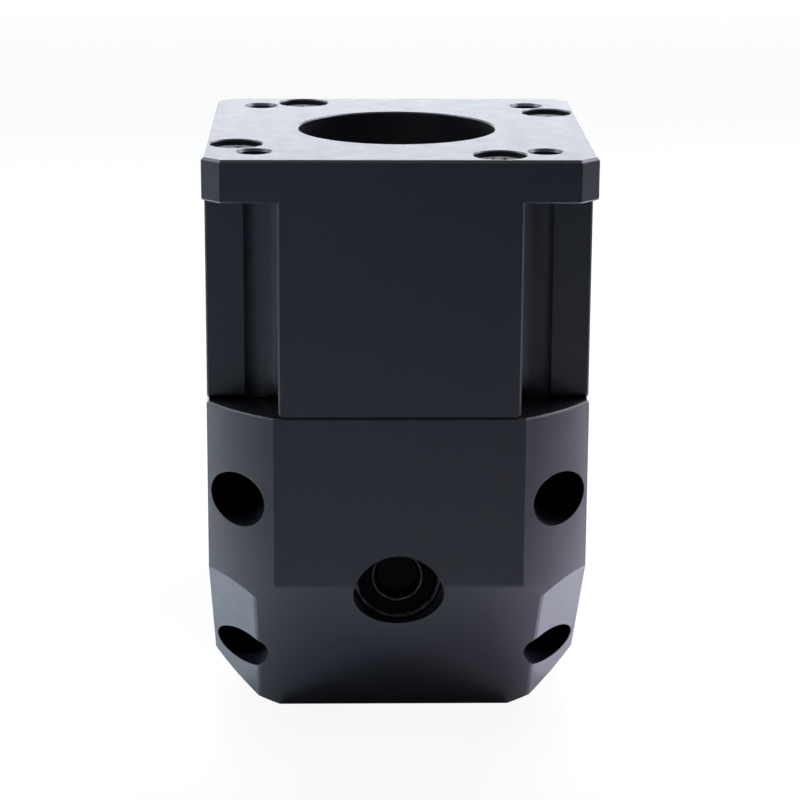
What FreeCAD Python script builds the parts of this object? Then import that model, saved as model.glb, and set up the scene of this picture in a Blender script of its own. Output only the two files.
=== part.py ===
"""Right angle planetary gearbox: clamp input, straight bevel pair, two planetary stages.

Frame: millimetres, origin at the centre of the motor flange face, +Z out of that face,
+Y along the output shaft.
"""
import FreeCAD, Part
import os
from math import acos, atan2, copysign, cos, hypot, pi, radians, sin, sqrt, tan
from typing import NamedTuple

V = FreeCAD.Vector


class Bearing(NamedTuple):
    """Sizes of a ball bearing; wall is the thickness of each ring."""
    bore: float
    outside: float
    width: float
    wall: float
    ball: float
    count: int


# Casings
FRAME = 42.0                 # width of the square casings and of the motor flange
CORNER_DIAMETER = 50.0       # turned diameter that rounds the corners of the elbow and output casings
FLANGE_THICKNESS = 4.6
FLANGE_CHAMFER = 2.0
INPUT_HEIGHT = 28.0          # motor face to the joint with the elbow
PANEL_WALL = 0.74            # wall between a long screw and a notch, front and rear panels
SIDE_PANEL_WALL = 0.39       # the same on the left and right panels
PANEL_CORNER = 0.6           # round at the lower corners of the panels
ELBOW_STEP = 0.5             # joint of the output casing beyond the back of the input casing
RIDGE_RISE = 1.5             # output axis to the top edge of the sloping face
SLOPE_FACE_WIDTH = 31.6      # width of the sloping face between its side facets
EDGE_BREAK = 0.3
FINE_EDGE = 0.2              # broken edges of the panels, the flange's underside and the elbow

# Motor side
MOTOR_PILOT = 22.0
MOTOR_PILOT_DEPTH = 4.0
PILOT_CHAMFER = 0.15
PILOT_RELIEF = 0.25          # bore round the hub beyond the pilot
MOTOR_HOLE_SPACING = 31.0
MOTOR_HOLE = 3.4
MOTOR_POCKET = 6.3           # diameter of the screw pockets in the corner notches
MOTOR_SHAFT = 5.0
MOTOR_SHAFT_DEPTH = 24.5     # how far the motor shaft may reach below the motor face

# Cap screws that hold the casings together
SCREW = 3.0
SCREW_HEAD = 5.5
SCREW_HEAD_HEIGHT = 3.0
SCREW_SOCKET = 2.5
SCREW_SOCKET_DEPTH = 1.6
SCREW_CLEARANCE_HOLE = 3.4
SCREW_HEAD_GAP = 0.25        # room round a head in the elbow
FLANGE_HEAD_GAP = 0.1        # room round a head in the flange
COUNTERBORE_CHAMFER = 0.15   # at the flange's counterbores
SCREW_SIDE = 3.43            # screw centre to the side of the casing
SCREW_OFFSET = 10.56         # screw centre to the middle plane
FLANGE_SCREW_RECESS = 0.6
FLANGE_SCREW_GRIP = 5.6      # thread length in the elbow
OUTPUT_SCREW_SEAT = 9.5      # wall under the heads of the output screws
OUTPUT_SCREW_GRIP = 6.5      # thread length in the output casing
TAP_RUNOUT = 0.5
THREAD_GAP = 0.02

# Ball bearings
JOURNAL_BEARING = Bearing(bore=8.0, outside=22.0, width=7.0, wall=2.05, ball=3.8, count=7)
REAR_BEARING = Bearing(bore=5.0, outside=10.0, width=4.0, wall=0.55, ball=1.5, count=9)
OUTPUT_BEARING = Bearing(bore=12.0, outside=24.0, width=6.0, wall=1.75, ball=3.2, count=11)
BEARING_RIM = 1.0            # rim between the two input bearings
BEARING_RIM_LIP = 1.5        # how far a rim covers the outer ring
RING_CHAMFER = 0.15
BALL_GAP = 0.06
SHIELD_THICKNESS = 0.25
SHIELD_RECESS = 0.2
SHIELD_GAP = 0.1
REAR_BEARING_DEPTH = 8.0     # front face to the rear bearing
REAR_SHOULDER = 1.2
REAR_SHOULDER_LIP = 0.8
REAR_SHAFT_RECESS = 1.4      # end of the shaft below the rear bearing's face

# Input hub and its clamp screw
HUB_CLEARANCE = 2.0          # hub to the pilot bore
HUB_DROP = 4.6               # motor face to the top of the hub
HUB_GAP = 0.4                # hub to the upper bearing's outer ring
HUB_SLOT = 1.2
CLAMP_WALL = 0.85            # motor shaft to the clamp screw's head
CLAMP_SCREW = 2.5
CLAMP_HEAD = 4.5
CLAMP_HEAD_HEIGHT = 2.5
CLAMP_HEAD_GAP = 0.15
CLAMP_SOCKET = 2.0
CLAMP_LENGTH = 10.0
CLAMP_HEAD_SEAT = 3.2        # middle plane to the seat of the clamp screw's head
ACCESS_HOLE = 5.0
ACCESS_PLUG = 6.0
ACCESS_PLUG_LENGTH = 3.0
ACCESS_PLUG_SOCKET = 3.0
ACCESS_PLUG_SOCKET_DEPTH = 1.8
ACCESS_PLUG_RECESS = 0.4

# Bevel pair
BEVEL_MODULE = 1.0
PINION_TEETH = 14
WHEEL_TEETH = 28
BEVEL_FACE = 5.0
BEVEL_BACKLASH = 0.14
CONE_MARGIN = 0.2            # share by which a toothed cone runs past its blank
PINION_SEAT = 6.0
PINION_HUB = 11.6
PINION_SCREW_HEAD_HEIGHT = 2.0
PINION_SCREW_GRIP = 8.0
PINION_WASHER = 0.6
PINION_WASHER_DIAMETER = 7.4
WHEEL_FRONT = 3.9            # input axis plane to the front of the wheel's hub
WHEEL_HUB = 15.0
WHEEL_KEY = 2.0
WHEEL_KEY_LENGTH = 6.0
WHEEL_SIDE_GAP = 0.7         # wheel to the cavity's front wall
WHEEL_TIP_GAP = 1.0          # wheel to the cavity's round wall
WHEEL_PLATE_GAP = 1.5        # wheel to the bearing plate
RETAINER_THICKNESS = 0.8
RETAINER_WALL = 1.4
RETAINER_GROOVE = 0.4
RETAINER_OPENING = 2.4
RETAINER_GAP = 0.6           # retaining ring to the bore round it
SPACER_WALL = 1.7
REAR_WALL = 0.6              # wall between the rear bearing and the pinion cavity
PLATE_STEP = 1.1             # bearing plate's seat beyond the wheel cavity
PLATE_LIP = 1.0
KEY_GAP = 0.02

# Planetary stages
GEAR_MODULE = 0.6
SUN_TEETH = 12
PLANET_TEETH = 18
PLANET_COUNT = 3
GEAR_BACKLASH = 0.12
RING_GEAR_WALL = 1.85
RING_GEAR_OVERRUN = 1.0      # ring gear past the face of the second carrier
STAGE_GAP = 0.5              # side clearance between planets, carriers and plates
FIRST_PLANET_WIDTH = 6.0
SECOND_PLANET_WIDTH = 7.5
PLANET_START = 1.5           # output joint to the first planets
CARRIER_GAP = 0.9            # carriers to the tips of the ring gear
CARRIER_ROOM_GAP = 1.0       # carriers to the casing
CARRIER_THICKNESS = 3.0
OUTPUT_CARRIER_THICKNESS = 4.0
PLANET_PIN = 3.0
PIN_CLEARANCE = 0.03

# Output
OUTPUT_SHAFT = 10.0
OUTPUT_SHAFT_LENGTH = 22.0
OUTPUT_SHAFT_CHAMFER = 0.6
OUTPUT_PILOT = 26.0
OUTPUT_PILOT_HEIGHT = 2.0
OUTPUT_HOLE_CIRCLE = 34.0
OUTPUT_HOLE = 4.0
OUTPUT_HOLE_DEPTH = 8.0
COLLAR_WALL = 1.0
SEAL_LAND_STEP = 0.5         # seal's land on the shaft above the free end
SEAL_DIAMETER = 20.0
SEAL_WIDTH = 3.0
SEAL_LIP_GAP = 0.05
SEAL_LIP = 0.6
SEAL_FLOOR = 1.8
SHOULDER_LIP = 3.5           # how far the casing's shoulder covers the output bearing
SHOULDER_THICKNESS = 2.5
OUTPUT_FLAT = 0.5            # depth of the flat along the free end
CENTRE_HOLE = 2.5
CENTRE_HOLE_DEPTH = 9.0

# Tooth form
PRESSURE_ANGLE = radians(20)
ADDENDUM = 0.85
DEDENDUM = 1.25
FLANK_POINTS = 4

# Derived sizes
HALF = FRAME / 2
PANEL_WIDTH = 2 * (SCREW_OFFSET + SCREW_CLEARANCE_HOLE / 2 + PANEL_WALL)
SIDE_PANEL_WIDTH = 2 * (SCREW_OFFSET + SCREW_CLEARANCE_HOLE / 2 + SIDE_PANEL_WALL)
FLANGE_SCREW_LENGTH = INPUT_HEIGHT - FLANGE_SCREW_RECESS - SCREW_HEAD_HEIGHT + FLANGE_SCREW_GRIP
OUTPUT_SCREW_LENGTH = OUTPUT_SCREW_SEAT + OUTPUT_SCREW_GRIP
SCREW_COUNTERBORE = SCREW_HEAD + 2 * SCREW_HEAD_GAP
FLANGE_COUNTERBORE = SCREW_HEAD + 2 * FLANGE_HEAD_GAP
HUB_DIAMETER = MOTOR_PILOT - 2 * HUB_CLEARANCE
CLAMP_OFFSET = MOTOR_SHAFT / 2 + CLAMP_WALL + CLAMP_HEAD / 2
WHEEL_SHAFT = JOURNAL_BEARING.bore
RIM_BORE = JOURNAL_BEARING.outside - 2 * BEARING_RIM_LIP
SHAFT_BORE = WHEEL_SHAFT + 2 * (RETAINER_WALL + RETAINER_GAP)
CONE_DISTANCE = BEVEL_MODULE * hypot(PINION_TEETH, WHEEL_TEETH) / 2
PINION_ANGLE = atan2(PINION_TEETH, WHEEL_TEETH)
WHEEL_ANGLE = atan2(WHEEL_TEETH, PINION_TEETH)
WHEEL_TIP = BEVEL_MODULE * (WHEEL_TEETH / 2 + ADDENDUM * cos(WHEEL_ANGLE))
WHEEL_CAVITY = 2 * (WHEEL_TIP + WHEEL_TIP_GAP)
PLATE_DIAMETER = WHEEL_CAVITY + 2 * PLATE_STEP
PLATE_THICKNESS = JOURNAL_BEARING.width + PLATE_LIP
RING_TEETH = SUN_TEETH + 2 * PLANET_TEETH
RING_GEAR_DIAMETER = 2 * (GEAR_MODULE * (RING_TEETH / 2 + DEDENDUM) + RING_GEAR_WALL)
CARRIER_DIAMETER = 2 * (GEAR_MODULE * (RING_TEETH / 2 - ADDENDUM) - CARRIER_GAP)
CARRIER_ROOM = CARRIER_DIAMETER + 2 * CARRIER_ROOM_GAP
PLANET_ORBIT = GEAR_MODULE * (SUN_TEETH + PLANET_TEETH) / 2
SHOULDER_BORE = OUTPUT_BEARING.outside - 2 * SHOULDER_LIP
SEAL_LAND = OUTPUT_SHAFT + 2 * SEAL_LAND_STEP

# Places along the input axis
JOINT_Z = -INPUT_HEIGHT
AXIS_DROP = INPUT_HEIGHT + HALF - ELBOW_STEP
AXIS_Z = -AXIS_DROP
BASE_Z = AXIS_Z - HALF
UPPER_BEARING_Z = JOINT_Z + JOURNAL_BEARING.width + BEARING_RIM
UPPER_BEARING_TOP = UPPER_BEARING_Z + JOURNAL_BEARING.width
HUB_BASE = UPPER_BEARING_TOP + HUB_GAP
CLAMP_Z = (HUB_BASE - HUB_DROP) / 2
CAVITY_FLOOR = AXIS_Z + REAR_BEARING.outside / 2 + REAR_WALL
SLOPE_SUM = -HALF + AXIS_Z + RIDGE_RISE

# Places along the output axis
ELBOW_REACH = HALF + ELBOW_STEP
JOINT_Y = ELBOW_REACH
REAR_BEARING_Y = -HALF + REAR_BEARING_DEPTH
REAR_SEAT_Y = REAR_BEARING_Y + REAR_BEARING.width
PLATE_Y = JOINT_Y - PLATE_THICKNESS
SHAFT_BEARING_Y = JOINT_Y - JOURNAL_BEARING.width
WHEEL_BACK = PLATE_Y - WHEEL_PLATE_GAP
FIRST_PLANET_Y = JOINT_Y + PLANET_START
FIRST_CARRIER_Y = FIRST_PLANET_Y + FIRST_PLANET_WIDTH + STAGE_GAP
SECOND_PLANET_Y = FIRST_CARRIER_Y + CARRIER_THICKNESS + 2 * STAGE_GAP
SECOND_CARRIER_Y = SECOND_PLANET_Y + SECOND_PLANET_WIDTH + STAGE_GAP
RING_END = SECOND_CARRIER_Y + RING_GEAR_OVERRUN
OUTPUT_PLATE_END = SECOND_CARRIER_Y + OUTPUT_CARRIER_THICKNESS
OUTPUT_BEARING_Y = OUTPUT_PLATE_END + STAGE_GAP
OUTPUT_SHOULDER_Y = OUTPUT_BEARING_Y + 2 * OUTPUT_BEARING.width
SEAL_Y = OUTPUT_SHOULDER_Y + SHOULDER_THICKNESS
PILOT_END = SEAL_Y + SEAL_WIDTH
OUTPUT_END = PILOT_END - OUTPUT_PILOT_HEIGHT
SHAFT_END = PILOT_END + OUTPUT_SHAFT_LENGTH


def rod_x(radius, start, end, y, z):
    """Solid rod along X."""
    return Part.makeCylinder(radius, end - start, V(start, y, z), V(1, 0, 0))


def rod_y(radius, start, end, x=0.0, z=AXIS_Z):
    """Solid rod along Y, on the output axis unless placed elsewhere."""
    return Part.makeCylinder(radius, end - start, V(x, start, z), V(0, 1, 0))


def rod_z(radius, start, end, x=0.0, y=0.0):
    """Solid rod along Z, on the input axis unless placed elsewhere."""
    return Part.makeCylinder(radius, end - start, V(x, y, start), V(0, 0, 1))


def prism(points, direction):
    """Extrude a closed outline of points."""
    return Part.Face(Part.makePolygon(points + [points[0]])).extrude(direction)


def turned(profile):
    """Revolve (radius, height) points about the local Z axis."""
    points = [V(r, 0, h) for r, h in profile]
    face = Part.Face(Part.makePolygon(points + [points[0]]))
    return face.revolve(V(0, 0, 0), V(0, 0, 1), 360)


def countersink(radius, chamfer):
    """Cone that breaks the rim of a hole in the motor face."""
    return turned([(0, 0), (radius + chamfer, 0), (radius, -chamfer), (0, -chamfer)])


def hexagon(across_flats, depth):
    """Hexagonal prism rising from the local origin along Z."""
    corner = across_flats / sqrt(3)
    points = [V(corner * cos(k * pi / 3), corner * sin(k * pi / 3), 0) for k in range(6)]
    return prism(points, V(0, 0, depth))


def chamfer_rims(solid, size, axis, places):
    """Chamfer the round edges of a solid that lie at the given places along an axis."""
    rims = []
    for edge in solid.Edges:
        at = getattr(edge.CenterOfMass, axis)
        if edge.Closed and min(abs(at - place) for place in places) < size / 10:
            rims.append(edge)
    return solid.makeChamfer(size, rims)


def on_input_axis(shape, z):
    """Place a local shape on the input axis with its origin at height z."""
    placed = shape.copy()
    placed.translate(V(0, 0, z))
    return placed


def on_output_axis(shape, y):
    """Turn a local shape so that its Z runs along Y, and place it on the output axis."""
    placed = shape.copy()
    placed.rotate(V(0, 0, 0), V(1, 0, 0), -90)
    placed.translate(V(0, y, AXIS_Z))
    return placed


def save(name, *solids):
    """Write one node, which may hold several separate solids."""
    shape = solids[0] if len(solids) == 1 else Part.makeCompound(solids)
    shape.exportStep("parts/" + name + ".step")


def flange_screw_places():
    """Screw centres on the motor flange, a quarter turn apart."""
    side = HALF - SCREW_SIDE
    return [(side, SCREW_OFFSET), (-SCREW_OFFSET, side), (-side, -SCREW_OFFSET), (SCREW_OFFSET, -side)]


def output_screw_places():
    """Screw centres round the output axis, as x and z, mirrored about both planes."""
    side = HALF - SCREW_SIDE
    return [(sx * side, AXIS_Z + sz * SCREW_OFFSET) for sx in (-1, 1) for sz in (-1, 1)]


def motor_hole_places():
    """Motor screw centres on the flange."""
    half = MOTOR_HOLE_SPACING / 2
    return [(sx * half, sy * half) for sx in (-1, 1) for sy in (-1, 1)]


def cap_screw(diameter, head, head_height, length, socket, socket_depth):
    """Socket cap screw along local -Z, with the top of its head at the origin."""
    body = Part.makeCylinder(head / 2, head_height, V(0, 0, -head_height))
    body = chamfer_rims(body, EDGE_BREAK, "z", [0])
    shank_end = -head_height - length
    shank = Part.makeCylinder(diameter / 2, length, V(0, 0, shank_end))
    shank = chamfer_rims(shank, EDGE_BREAK, "z", [shank_end])
    recess = hexagon(socket, socket_depth)
    recess.translate(V(0, 0, -socket_depth))
    return body.fuse(shank).removeSplitter().cut(recess)


def corner_section():
    """Square section with turned corners, as a face in the local XY plane."""
    flat = sqrt((CORNER_DIAMETER / 2) ** 2 - HALF ** 2)
    diagonal = CORNER_DIAMETER / 2 / sqrt(2)
    edges = []
    for k in range(4):
        turn = FreeCAD.Rotation(V(0, 0, 1), 90 * k)
        start = turn.multVec(V(HALF, -flat, 0))
        end = turn.multVec(V(HALF, flat, 0))
        middle = turn.multVec(V(diagonal, diagonal, 0))
        after = turn.multVec(V(flat, HALF, 0))
        edges.append(Part.makeLine(start, end))
        edges.append(Part.Arc(end, middle, after).toShape())
    return Part.Face(Part.Wire(edges))


def flange_wire(inset, z):
    """Outline of the motor flange at a height, drawn in by an inset."""
    side = HALF - inset
    cut = side - FLANGE_CHAMFER + inset * (2 - sqrt(2))
    outline = [(side, -cut), (side, cut), (cut, side), (-cut, side),
               (-side, cut), (-side, -cut), (-cut, -side), (cut, -side)]
    points = [V(x, y, z) for x, y in outline]
    return Part.makePolygon(points + [points[0]])


def notched_panels():
    """Cross-shaped block below the flange, with broken outer edges and screw pockets.

    A web fills the inner corner of each notch up to the round wall of its pocket.
    """
    front = PANEL_WIDTH / 2
    side = SIDE_PANEL_WIDTH / 2
    upper = [(HALF, side), (front, side), (front, HALF), (-front, HALF), (-front, side), (-HALF, side)]
    lower = [(-x, -y) for x, y in upper]
    block = prism([V(x, y, JOINT_Z) for x, y in upper + lower], V(0, 0, INPUT_HEIGHT - EDGE_BREAK))
    corners = []
    for edge in block.Edges:
        at = edge.CenterOfMass
        in_notch = max(abs(at.x), abs(at.y)) < HALF - EDGE_BREAK
        if abs(at.z - JOINT_Z) < EDGE_BREAK and in_notch:
            corners.append(edge)
    block = block.makeFillet(PANEL_CORNER, corners)
    outer = []
    for edge in block.Edges:
        at = edge.CenterOfMass
        if max(abs(at.x), abs(at.y)) > HALF - FINE_EDGE / 10 and at.z < -FLANGE_THICKNESS:
            outer.append(edge)
    block = block.makeChamfer(FINE_EDGE, outer)
    web_foot = JOINT_Z + PANEL_CORNER
    webs = []
    pockets = []
    for x, y in motor_hole_places():
        wall_x = copysign(front, x)
        wall_y = copysign(side, y)
        corners = [V(wall_x, wall_y, web_foot), V(x, wall_y, web_foot),
                   V(x, y, web_foot), V(wall_x, y, web_foot)]
        webs.append(prism(corners, V(0, 0, -FLANGE_THICKNESS - web_foot)))
        pockets.append(rod_z(MOTOR_POCKET / 2, JOINT_Z, -FLANGE_THICKNESS, x, y))
    return block.fuse(webs).removeSplitter().cut(pockets)


def input_housing():
    """Motor flange, notched panels, pilot bore and seats of the two input bearings."""
    rims = [flange_wire(EDGE_BREAK, 0), flange_wire(0, -EDGE_BREAK),
            flange_wire(0, FINE_EDGE - FLANGE_THICKNESS), flange_wire(FINE_EDGE, -FLANGE_THICKNESS)]
    body = Part.makeLoft(rims, True, True).fuse(notched_panels()).removeSplitter()
    pilot = MOTOR_PILOT / 2
    seat = JOURNAL_BEARING.outside / 2
    hole = MOTOR_HOLE / 2
    cuts = [rod_z(pilot, -MOTOR_PILOT_DEPTH, 0),
            rod_z(pilot + PILOT_RELIEF, UPPER_BEARING_TOP, -MOTOR_PILOT_DEPTH),
            rod_z(seat, UPPER_BEARING_Z, UPPER_BEARING_TOP),
            rod_z(RIM_BORE / 2, JOINT_Z, 0),
            rod_z(seat, JOINT_Z, JOINT_Z + JOURNAL_BEARING.width),
            countersink(pilot, PILOT_CHAMFER)]
    hole_rim = countersink(hole, EDGE_BREAK)
    for x, y in motor_hole_places():
        cuts.append(rod_z(hole, -FLANGE_THICKNESS, 0, x, y))
        cuts.append(hole_rim.translated(V(x, y, 0)))
    counterbore = FLANGE_COUNTERBORE / 2
    counterbore_rim = countersink(counterbore, COUNTERBORE_CHAMFER)
    floor = -FLANGE_SCREW_RECESS - SCREW_HEAD_HEIGHT
    for x, y in flange_screw_places():
        cuts.append(rod_z(counterbore, floor, 0, x, y))
        cuts.append(counterbore_rim.translated(V(x, y, 0)))
        cuts.append(rod_z(SCREW_CLEARANCE_HOLE / 2, JOINT_Z, 0, x, y))
    plug_seat = HALF - ACCESS_PLUG_RECESS - ACCESS_PLUG_LENGTH
    cuts.append(rod_x(ACCESS_HOLE / 2, 0, HALF, -CLAMP_OFFSET, CLAMP_Z))
    cuts.append(rod_x(ACCESS_PLUG / 2, plug_seat, HALF, -CLAMP_OFFSET, CLAMP_Z))
    return body.cut(cuts)


def elbow_block():
    """Two mitred lengths of the corner section, with a sloping face across the outside of the bend."""
    reach = 4 * FRAME
    section = corner_section()
    upright = section.extrude(V(0, 0, JOINT_Z - BASE_Z))
    upright.translate(V(0, 0, BASE_Z))
    level = on_output_axis(section.extrude(V(0, 0, HALF + ELBOW_REACH)), -HALF)
    level = level.cut(Part.makeBox(reach, reach, reach, V(-reach / 2, -reach / 2, JOINT_Z)))
    mitre = prism([V(-reach, -reach, AXIS_Z - reach), V(-reach, reach, AXIS_Z + reach),
                   V(-reach, -reach, AXIS_Z + reach)], V(2 * reach, 0, 0))
    bend = upright.common(mitre).fuse(level.cut(mitre)).removeSplitter()
    ridge = SLOPE_SUM + HALF
    slope = prism([V(-reach, -HALF, ridge), V(-reach, -HALF - reach, ridge),
                   V(-reach, -HALF - reach, ridge - 2 * reach),
                   V(-reach, -HALF + 2 * reach, ridge - 2 * reach)], V(2 * reach, 0, 0))
    return bend.cut([slope, facet(-1), facet(1)])


def facet(side):
    """Wedge that cuts the facet between the sloping face and one side of the elbow."""
    reach = 2 * FRAME
    edge = V(side * SLOPE_FACE_WIDTH / 2, -HALF, SLOPE_SUM + HALF)
    along = V(0, 1, -1).normalize()
    back = V(0, 1, 1).normalize()
    outward = V(side, 0, 0)
    across = outward + back
    start = edge - along * reach
    points = [start - across * reach, start + across * reach, start + outward * 2 * reach - back * reach]
    return prism(points, along * 3 * reach)


def break_edges(body):
    """Chamfer the outer edges of the elbow that show: the joint rim, the ridge and the facet edges."""
    chosen = []
    for edge in body.Edges:
        at = edge.CenterOfMass
        on_slope = abs(at.y + at.z - SLOPE_SUM) < FINE_EDGE / 10
        on_joint = abs(at.z - JOINT_Z) < FINE_EDGE / 10 and at.y < HALF - FINE_EDGE
        if on_slope or on_joint:
            chosen.append(edge)
    return body.makeChamfer(FINE_EDGE, chosen)


def elbow_housing():
    """Elbow with the bevel cavities, the seats of the rear bearing and the plate, and the screw holes."""
    body = break_edges(elbow_block())
    cuts = [rod_z(RIM_BORE / 2, CAVITY_FLOOR, JOINT_Z),
            rod_y(WHEEL_CAVITY / 2, WHEEL_FRONT - WHEEL_SIDE_GAP, JOINT_Y),
            rod_y(PLATE_DIAMETER / 2, PLATE_Y, JOINT_Y),
            rod_y(SHAFT_BORE / 2, REAR_SEAT_Y + REAR_SHOULDER, JOINT_Y),
            rod_y(REAR_BEARING.outside / 2 - REAR_SHOULDER_LIP, REAR_SEAT_Y, JOINT_Y),
            rod_y(REAR_BEARING.outside / 2, -HALF, REAR_SEAT_Y)]
    head_floor = JOINT_Y - OUTPUT_SCREW_SEAT
    for x, z in output_screw_places():
        cuts.append(rod_y(SCREW_COUNTERBORE / 2, -HALF, head_floor, x, z))
        cuts.append(rod_y(SCREW_CLEARANCE_HOLE / 2, -HALF, JOINT_Y, x, z))
    tap_end = JOINT_Z - FLANGE_SCREW_GRIP - TAP_RUNOUT
    for x, y in flange_screw_places():
        cuts.append(rod_z(SCREW / 2 + THREAD_GAP, tap_end, JOINT_Z, x, y))
    return body.cut(cuts)


def output_housing():
    """Casing of the planetary stages and of the output bearings, with the output face and pilot."""
    body = on_output_axis(corner_section().extrude(V(0, 0, OUTPUT_END - JOINT_Y)), JOINT_Y)
    rims = []
    for edge in body.Edges:
        at = edge.CenterOfMass.y
        if min(abs(at - OUTPUT_END), abs(at - JOINT_Y)) < EDGE_BREAK:
            rims.append(edge)
    body = body.makeChamfer(EDGE_BREAK, rims)
    pilot = chamfer_rims(rod_y(OUTPUT_PILOT / 2, JOINT_Y, PILOT_END), EDGE_BREAK, "y", [PILOT_END])
    body = body.fuse(pilot).removeSplitter()
    cuts = [rod_y(RING_GEAR_DIAMETER / 2, JOINT_Y, RING_END),
            rod_y(CARRIER_ROOM / 2, JOINT_Y, OUTPUT_BEARING_Y - STAGE_GAP / 2),
            rod_y(OUTPUT_BEARING.outside / 2, JOINT_Y, OUTPUT_SHOULDER_Y),
            rod_y(SHOULDER_BORE / 2, JOINT_Y, PILOT_END),
            rod_y(SEAL_DIAMETER / 2, SEAL_Y, PILOT_END)]
    for x, z in output_screw_places():
        cuts.append(rod_y(SCREW / 2 + THREAD_GAP, JOINT_Y, JOINT_Y + OUTPUT_SCREW_GRIP + TAP_RUNOUT, x, z))
    across = OUTPUT_HOLE_CIRCLE / 2 / sqrt(2)
    start = OUTPUT_END - OUTPUT_HOLE_DEPTH
    for sx in (-1, 1):
        for sz in (-1, 1):
            cuts.append(rod_y(OUTPUT_HOLE / 2, start, OUTPUT_END, sx * across, AXIS_Z + sz * across))
    return body.cut(cuts)


def flange_screws():
    """Four long cap screws through the input housing into the elbow."""
    screw = cap_screw(SCREW, SCREW_HEAD, SCREW_HEAD_HEIGHT, FLANGE_SCREW_LENGTH,
                      SCREW_SOCKET, SCREW_SOCKET_DEPTH)
    return [screw.translated(V(x, y, -FLANGE_SCREW_RECESS)) for x, y in flange_screw_places()]


def output_screws():
    """Four cap screws through the elbow into the output housing."""
    screw = cap_screw(SCREW, SCREW_HEAD, SCREW_HEAD_HEIGHT, OUTPUT_SCREW_LENGTH,
                      SCREW_SOCKET, SCREW_SOCKET_DEPTH)
    screw.rotate(V(0, 0, 0), V(1, 0, 0), 90)
    head_top = JOINT_Y - OUTPUT_SCREW_SEAT - SCREW_HEAD_HEIGHT
    return [screw.translated(V(x, head_top, z)) for x, z in output_screw_places()]


def clamp_screw():
    """Screw that closes the hub's slot on the motor shaft."""
    screw = cap_screw(CLAMP_SCREW, CLAMP_HEAD, CLAMP_HEAD_HEIGHT, CLAMP_LENGTH,
                      CLAMP_SOCKET, CLAMP_HEAD_HEIGHT / 2)
    screw.rotate(V(0, 0, 0), V(0, 1, 0), 90)
    return screw.translated(V(CLAMP_HEAD_SEAT + CLAMP_HEAD_HEIGHT, -CLAMP_OFFSET, CLAMP_Z))


def access_plug():
    """Socket plug that closes the hole over the clamp screw."""
    end = HALF - ACCESS_PLUG_RECESS
    plug = rod_x(ACCESS_PLUG / 2 - THREAD_GAP, end - ACCESS_PLUG_LENGTH, end, -CLAMP_OFFSET, CLAMP_Z)
    plug = chamfer_rims(plug, EDGE_BREAK, "x", [end])
    socket = hexagon(ACCESS_PLUG_SOCKET, ACCESS_PLUG_SOCKET_DEPTH)
    socket.rotate(V(0, 0, 0), V(0, 1, 0), 90)
    return plug.cut(socket.translated(V(end - ACCESS_PLUG_SOCKET_DEPTH, -CLAMP_OFFSET, CLAMP_Z)))


def bearing_ring(inner, outer, width):
    """Ring with chamfered corners, rising from the local origin."""
    c = RING_CHAMFER
    return turned([(inner + c, 0), (outer - c, 0), (outer, c), (outer, width - c),
                   (outer - c, width), (inner + c, width), (inner, width - c), (inner, c)])


def ball_bearing(size):
    """Outer ring, inner ring and balls of a bearing that rises from the local origin."""
    orbit = (size.outside + size.bore) / 4
    groove = Part.makeTorus(orbit, size.ball / 2 + BALL_GAP, V(0, 0, size.width / 2))
    outer = bearing_ring(size.outside / 2 - size.wall, size.outside / 2, size.width).cut(groove)
    inner = bearing_ring(size.bore / 2, size.bore / 2 + size.wall, size.width).cut(groove)
    balls = []
    for k in range(size.count):
        angle = 2 * pi * k / size.count
        centre = V(orbit * cos(angle), orbit * sin(angle), size.width / 2)
        balls.append(Part.makeSphere(size.ball / 2, centre))
    return outer, inner, balls


def bearing_shields(size):
    """Thin covers held by the outer ring on both sides of a bearing."""
    disc = Part.makeCylinder(size.outside / 2 - size.wall, SHIELD_THICKNESS)
    disc = disc.cut(Part.makeCylinder(size.bore / 2 + size.wall + SHIELD_GAP, SHIELD_THICKNESS))
    far_side = size.width - SHIELD_RECESS - SHIELD_THICKNESS
    return [disc.translated(V(0, 0, z)) for z in (SHIELD_RECESS, far_side)]


def tooth_flank(teeth, module, addendum, dedendum, backlash):
    """(radius, half angle) points up one involute flank, from root to tip."""
    pitch = module * teeth / 2
    base = pitch * cos(PRESSURE_ANGLE)
    root = pitch - module * dedendum
    tip = pitch + module * addendum
    foot = max(root, base)
    at_pitch = pi / (2 * teeth) - backlash / (4 * pitch)
    involute = tan(PRESSURE_ANGLE) - PRESSURE_ANGLE
    flank = []
    for k in range(FLANK_POINTS):
        radius = foot + (tip - foot) * k / (FLANK_POINTS - 1)
        pressure = acos(min(1.0, base / radius))
        flank.append((radius, at_pitch + involute - tan(pressure) + pressure))
    if foot > root:
        flank.insert(0, (root, flank[0][1]))
    return flank


def tooth_outline(teeth, flank, phase):
    """(radius, angle) points round a gear, with a tooth at the phase angle."""
    outline = []
    for k in range(teeth):
        centre = phase + 2 * pi * k / teeth
        outline += [(r, centre - half) for r, half in flank]
        outline += [(r, centre + half) for r, half in reversed(flank)]
    return outline


def spur_prism(teeth, addendum, dedendum, backlash, phase, width):
    """Spur gear teeth as a prism from the local origin, with a tooth at the phase angle."""
    flank = tooth_flank(teeth, GEAR_MODULE, addendum, dedendum, backlash)
    points = [V(r * cos(a), r * sin(a), 0) for r, a in tooth_outline(teeth, flank, phase)]
    return prism(points, V(0, 0, width))


def sun_teeth(width):
    """Teeth of a sun, with a tooth towards each planet."""
    return spur_prism(SUN_TEETH, ADDENDUM, DEDENDUM, GEAR_BACKLASH, 0, width)


def planet_places():
    """Direction and centre of each planet round the local axis."""
    places = []
    for k in range(PLANET_COUNT):
        angle = 2 * pi * k / PLANET_COUNT
        places.append((angle, V(PLANET_ORBIT * cos(angle), PLANET_ORBIT * sin(angle), 0)))
    return places


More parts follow.
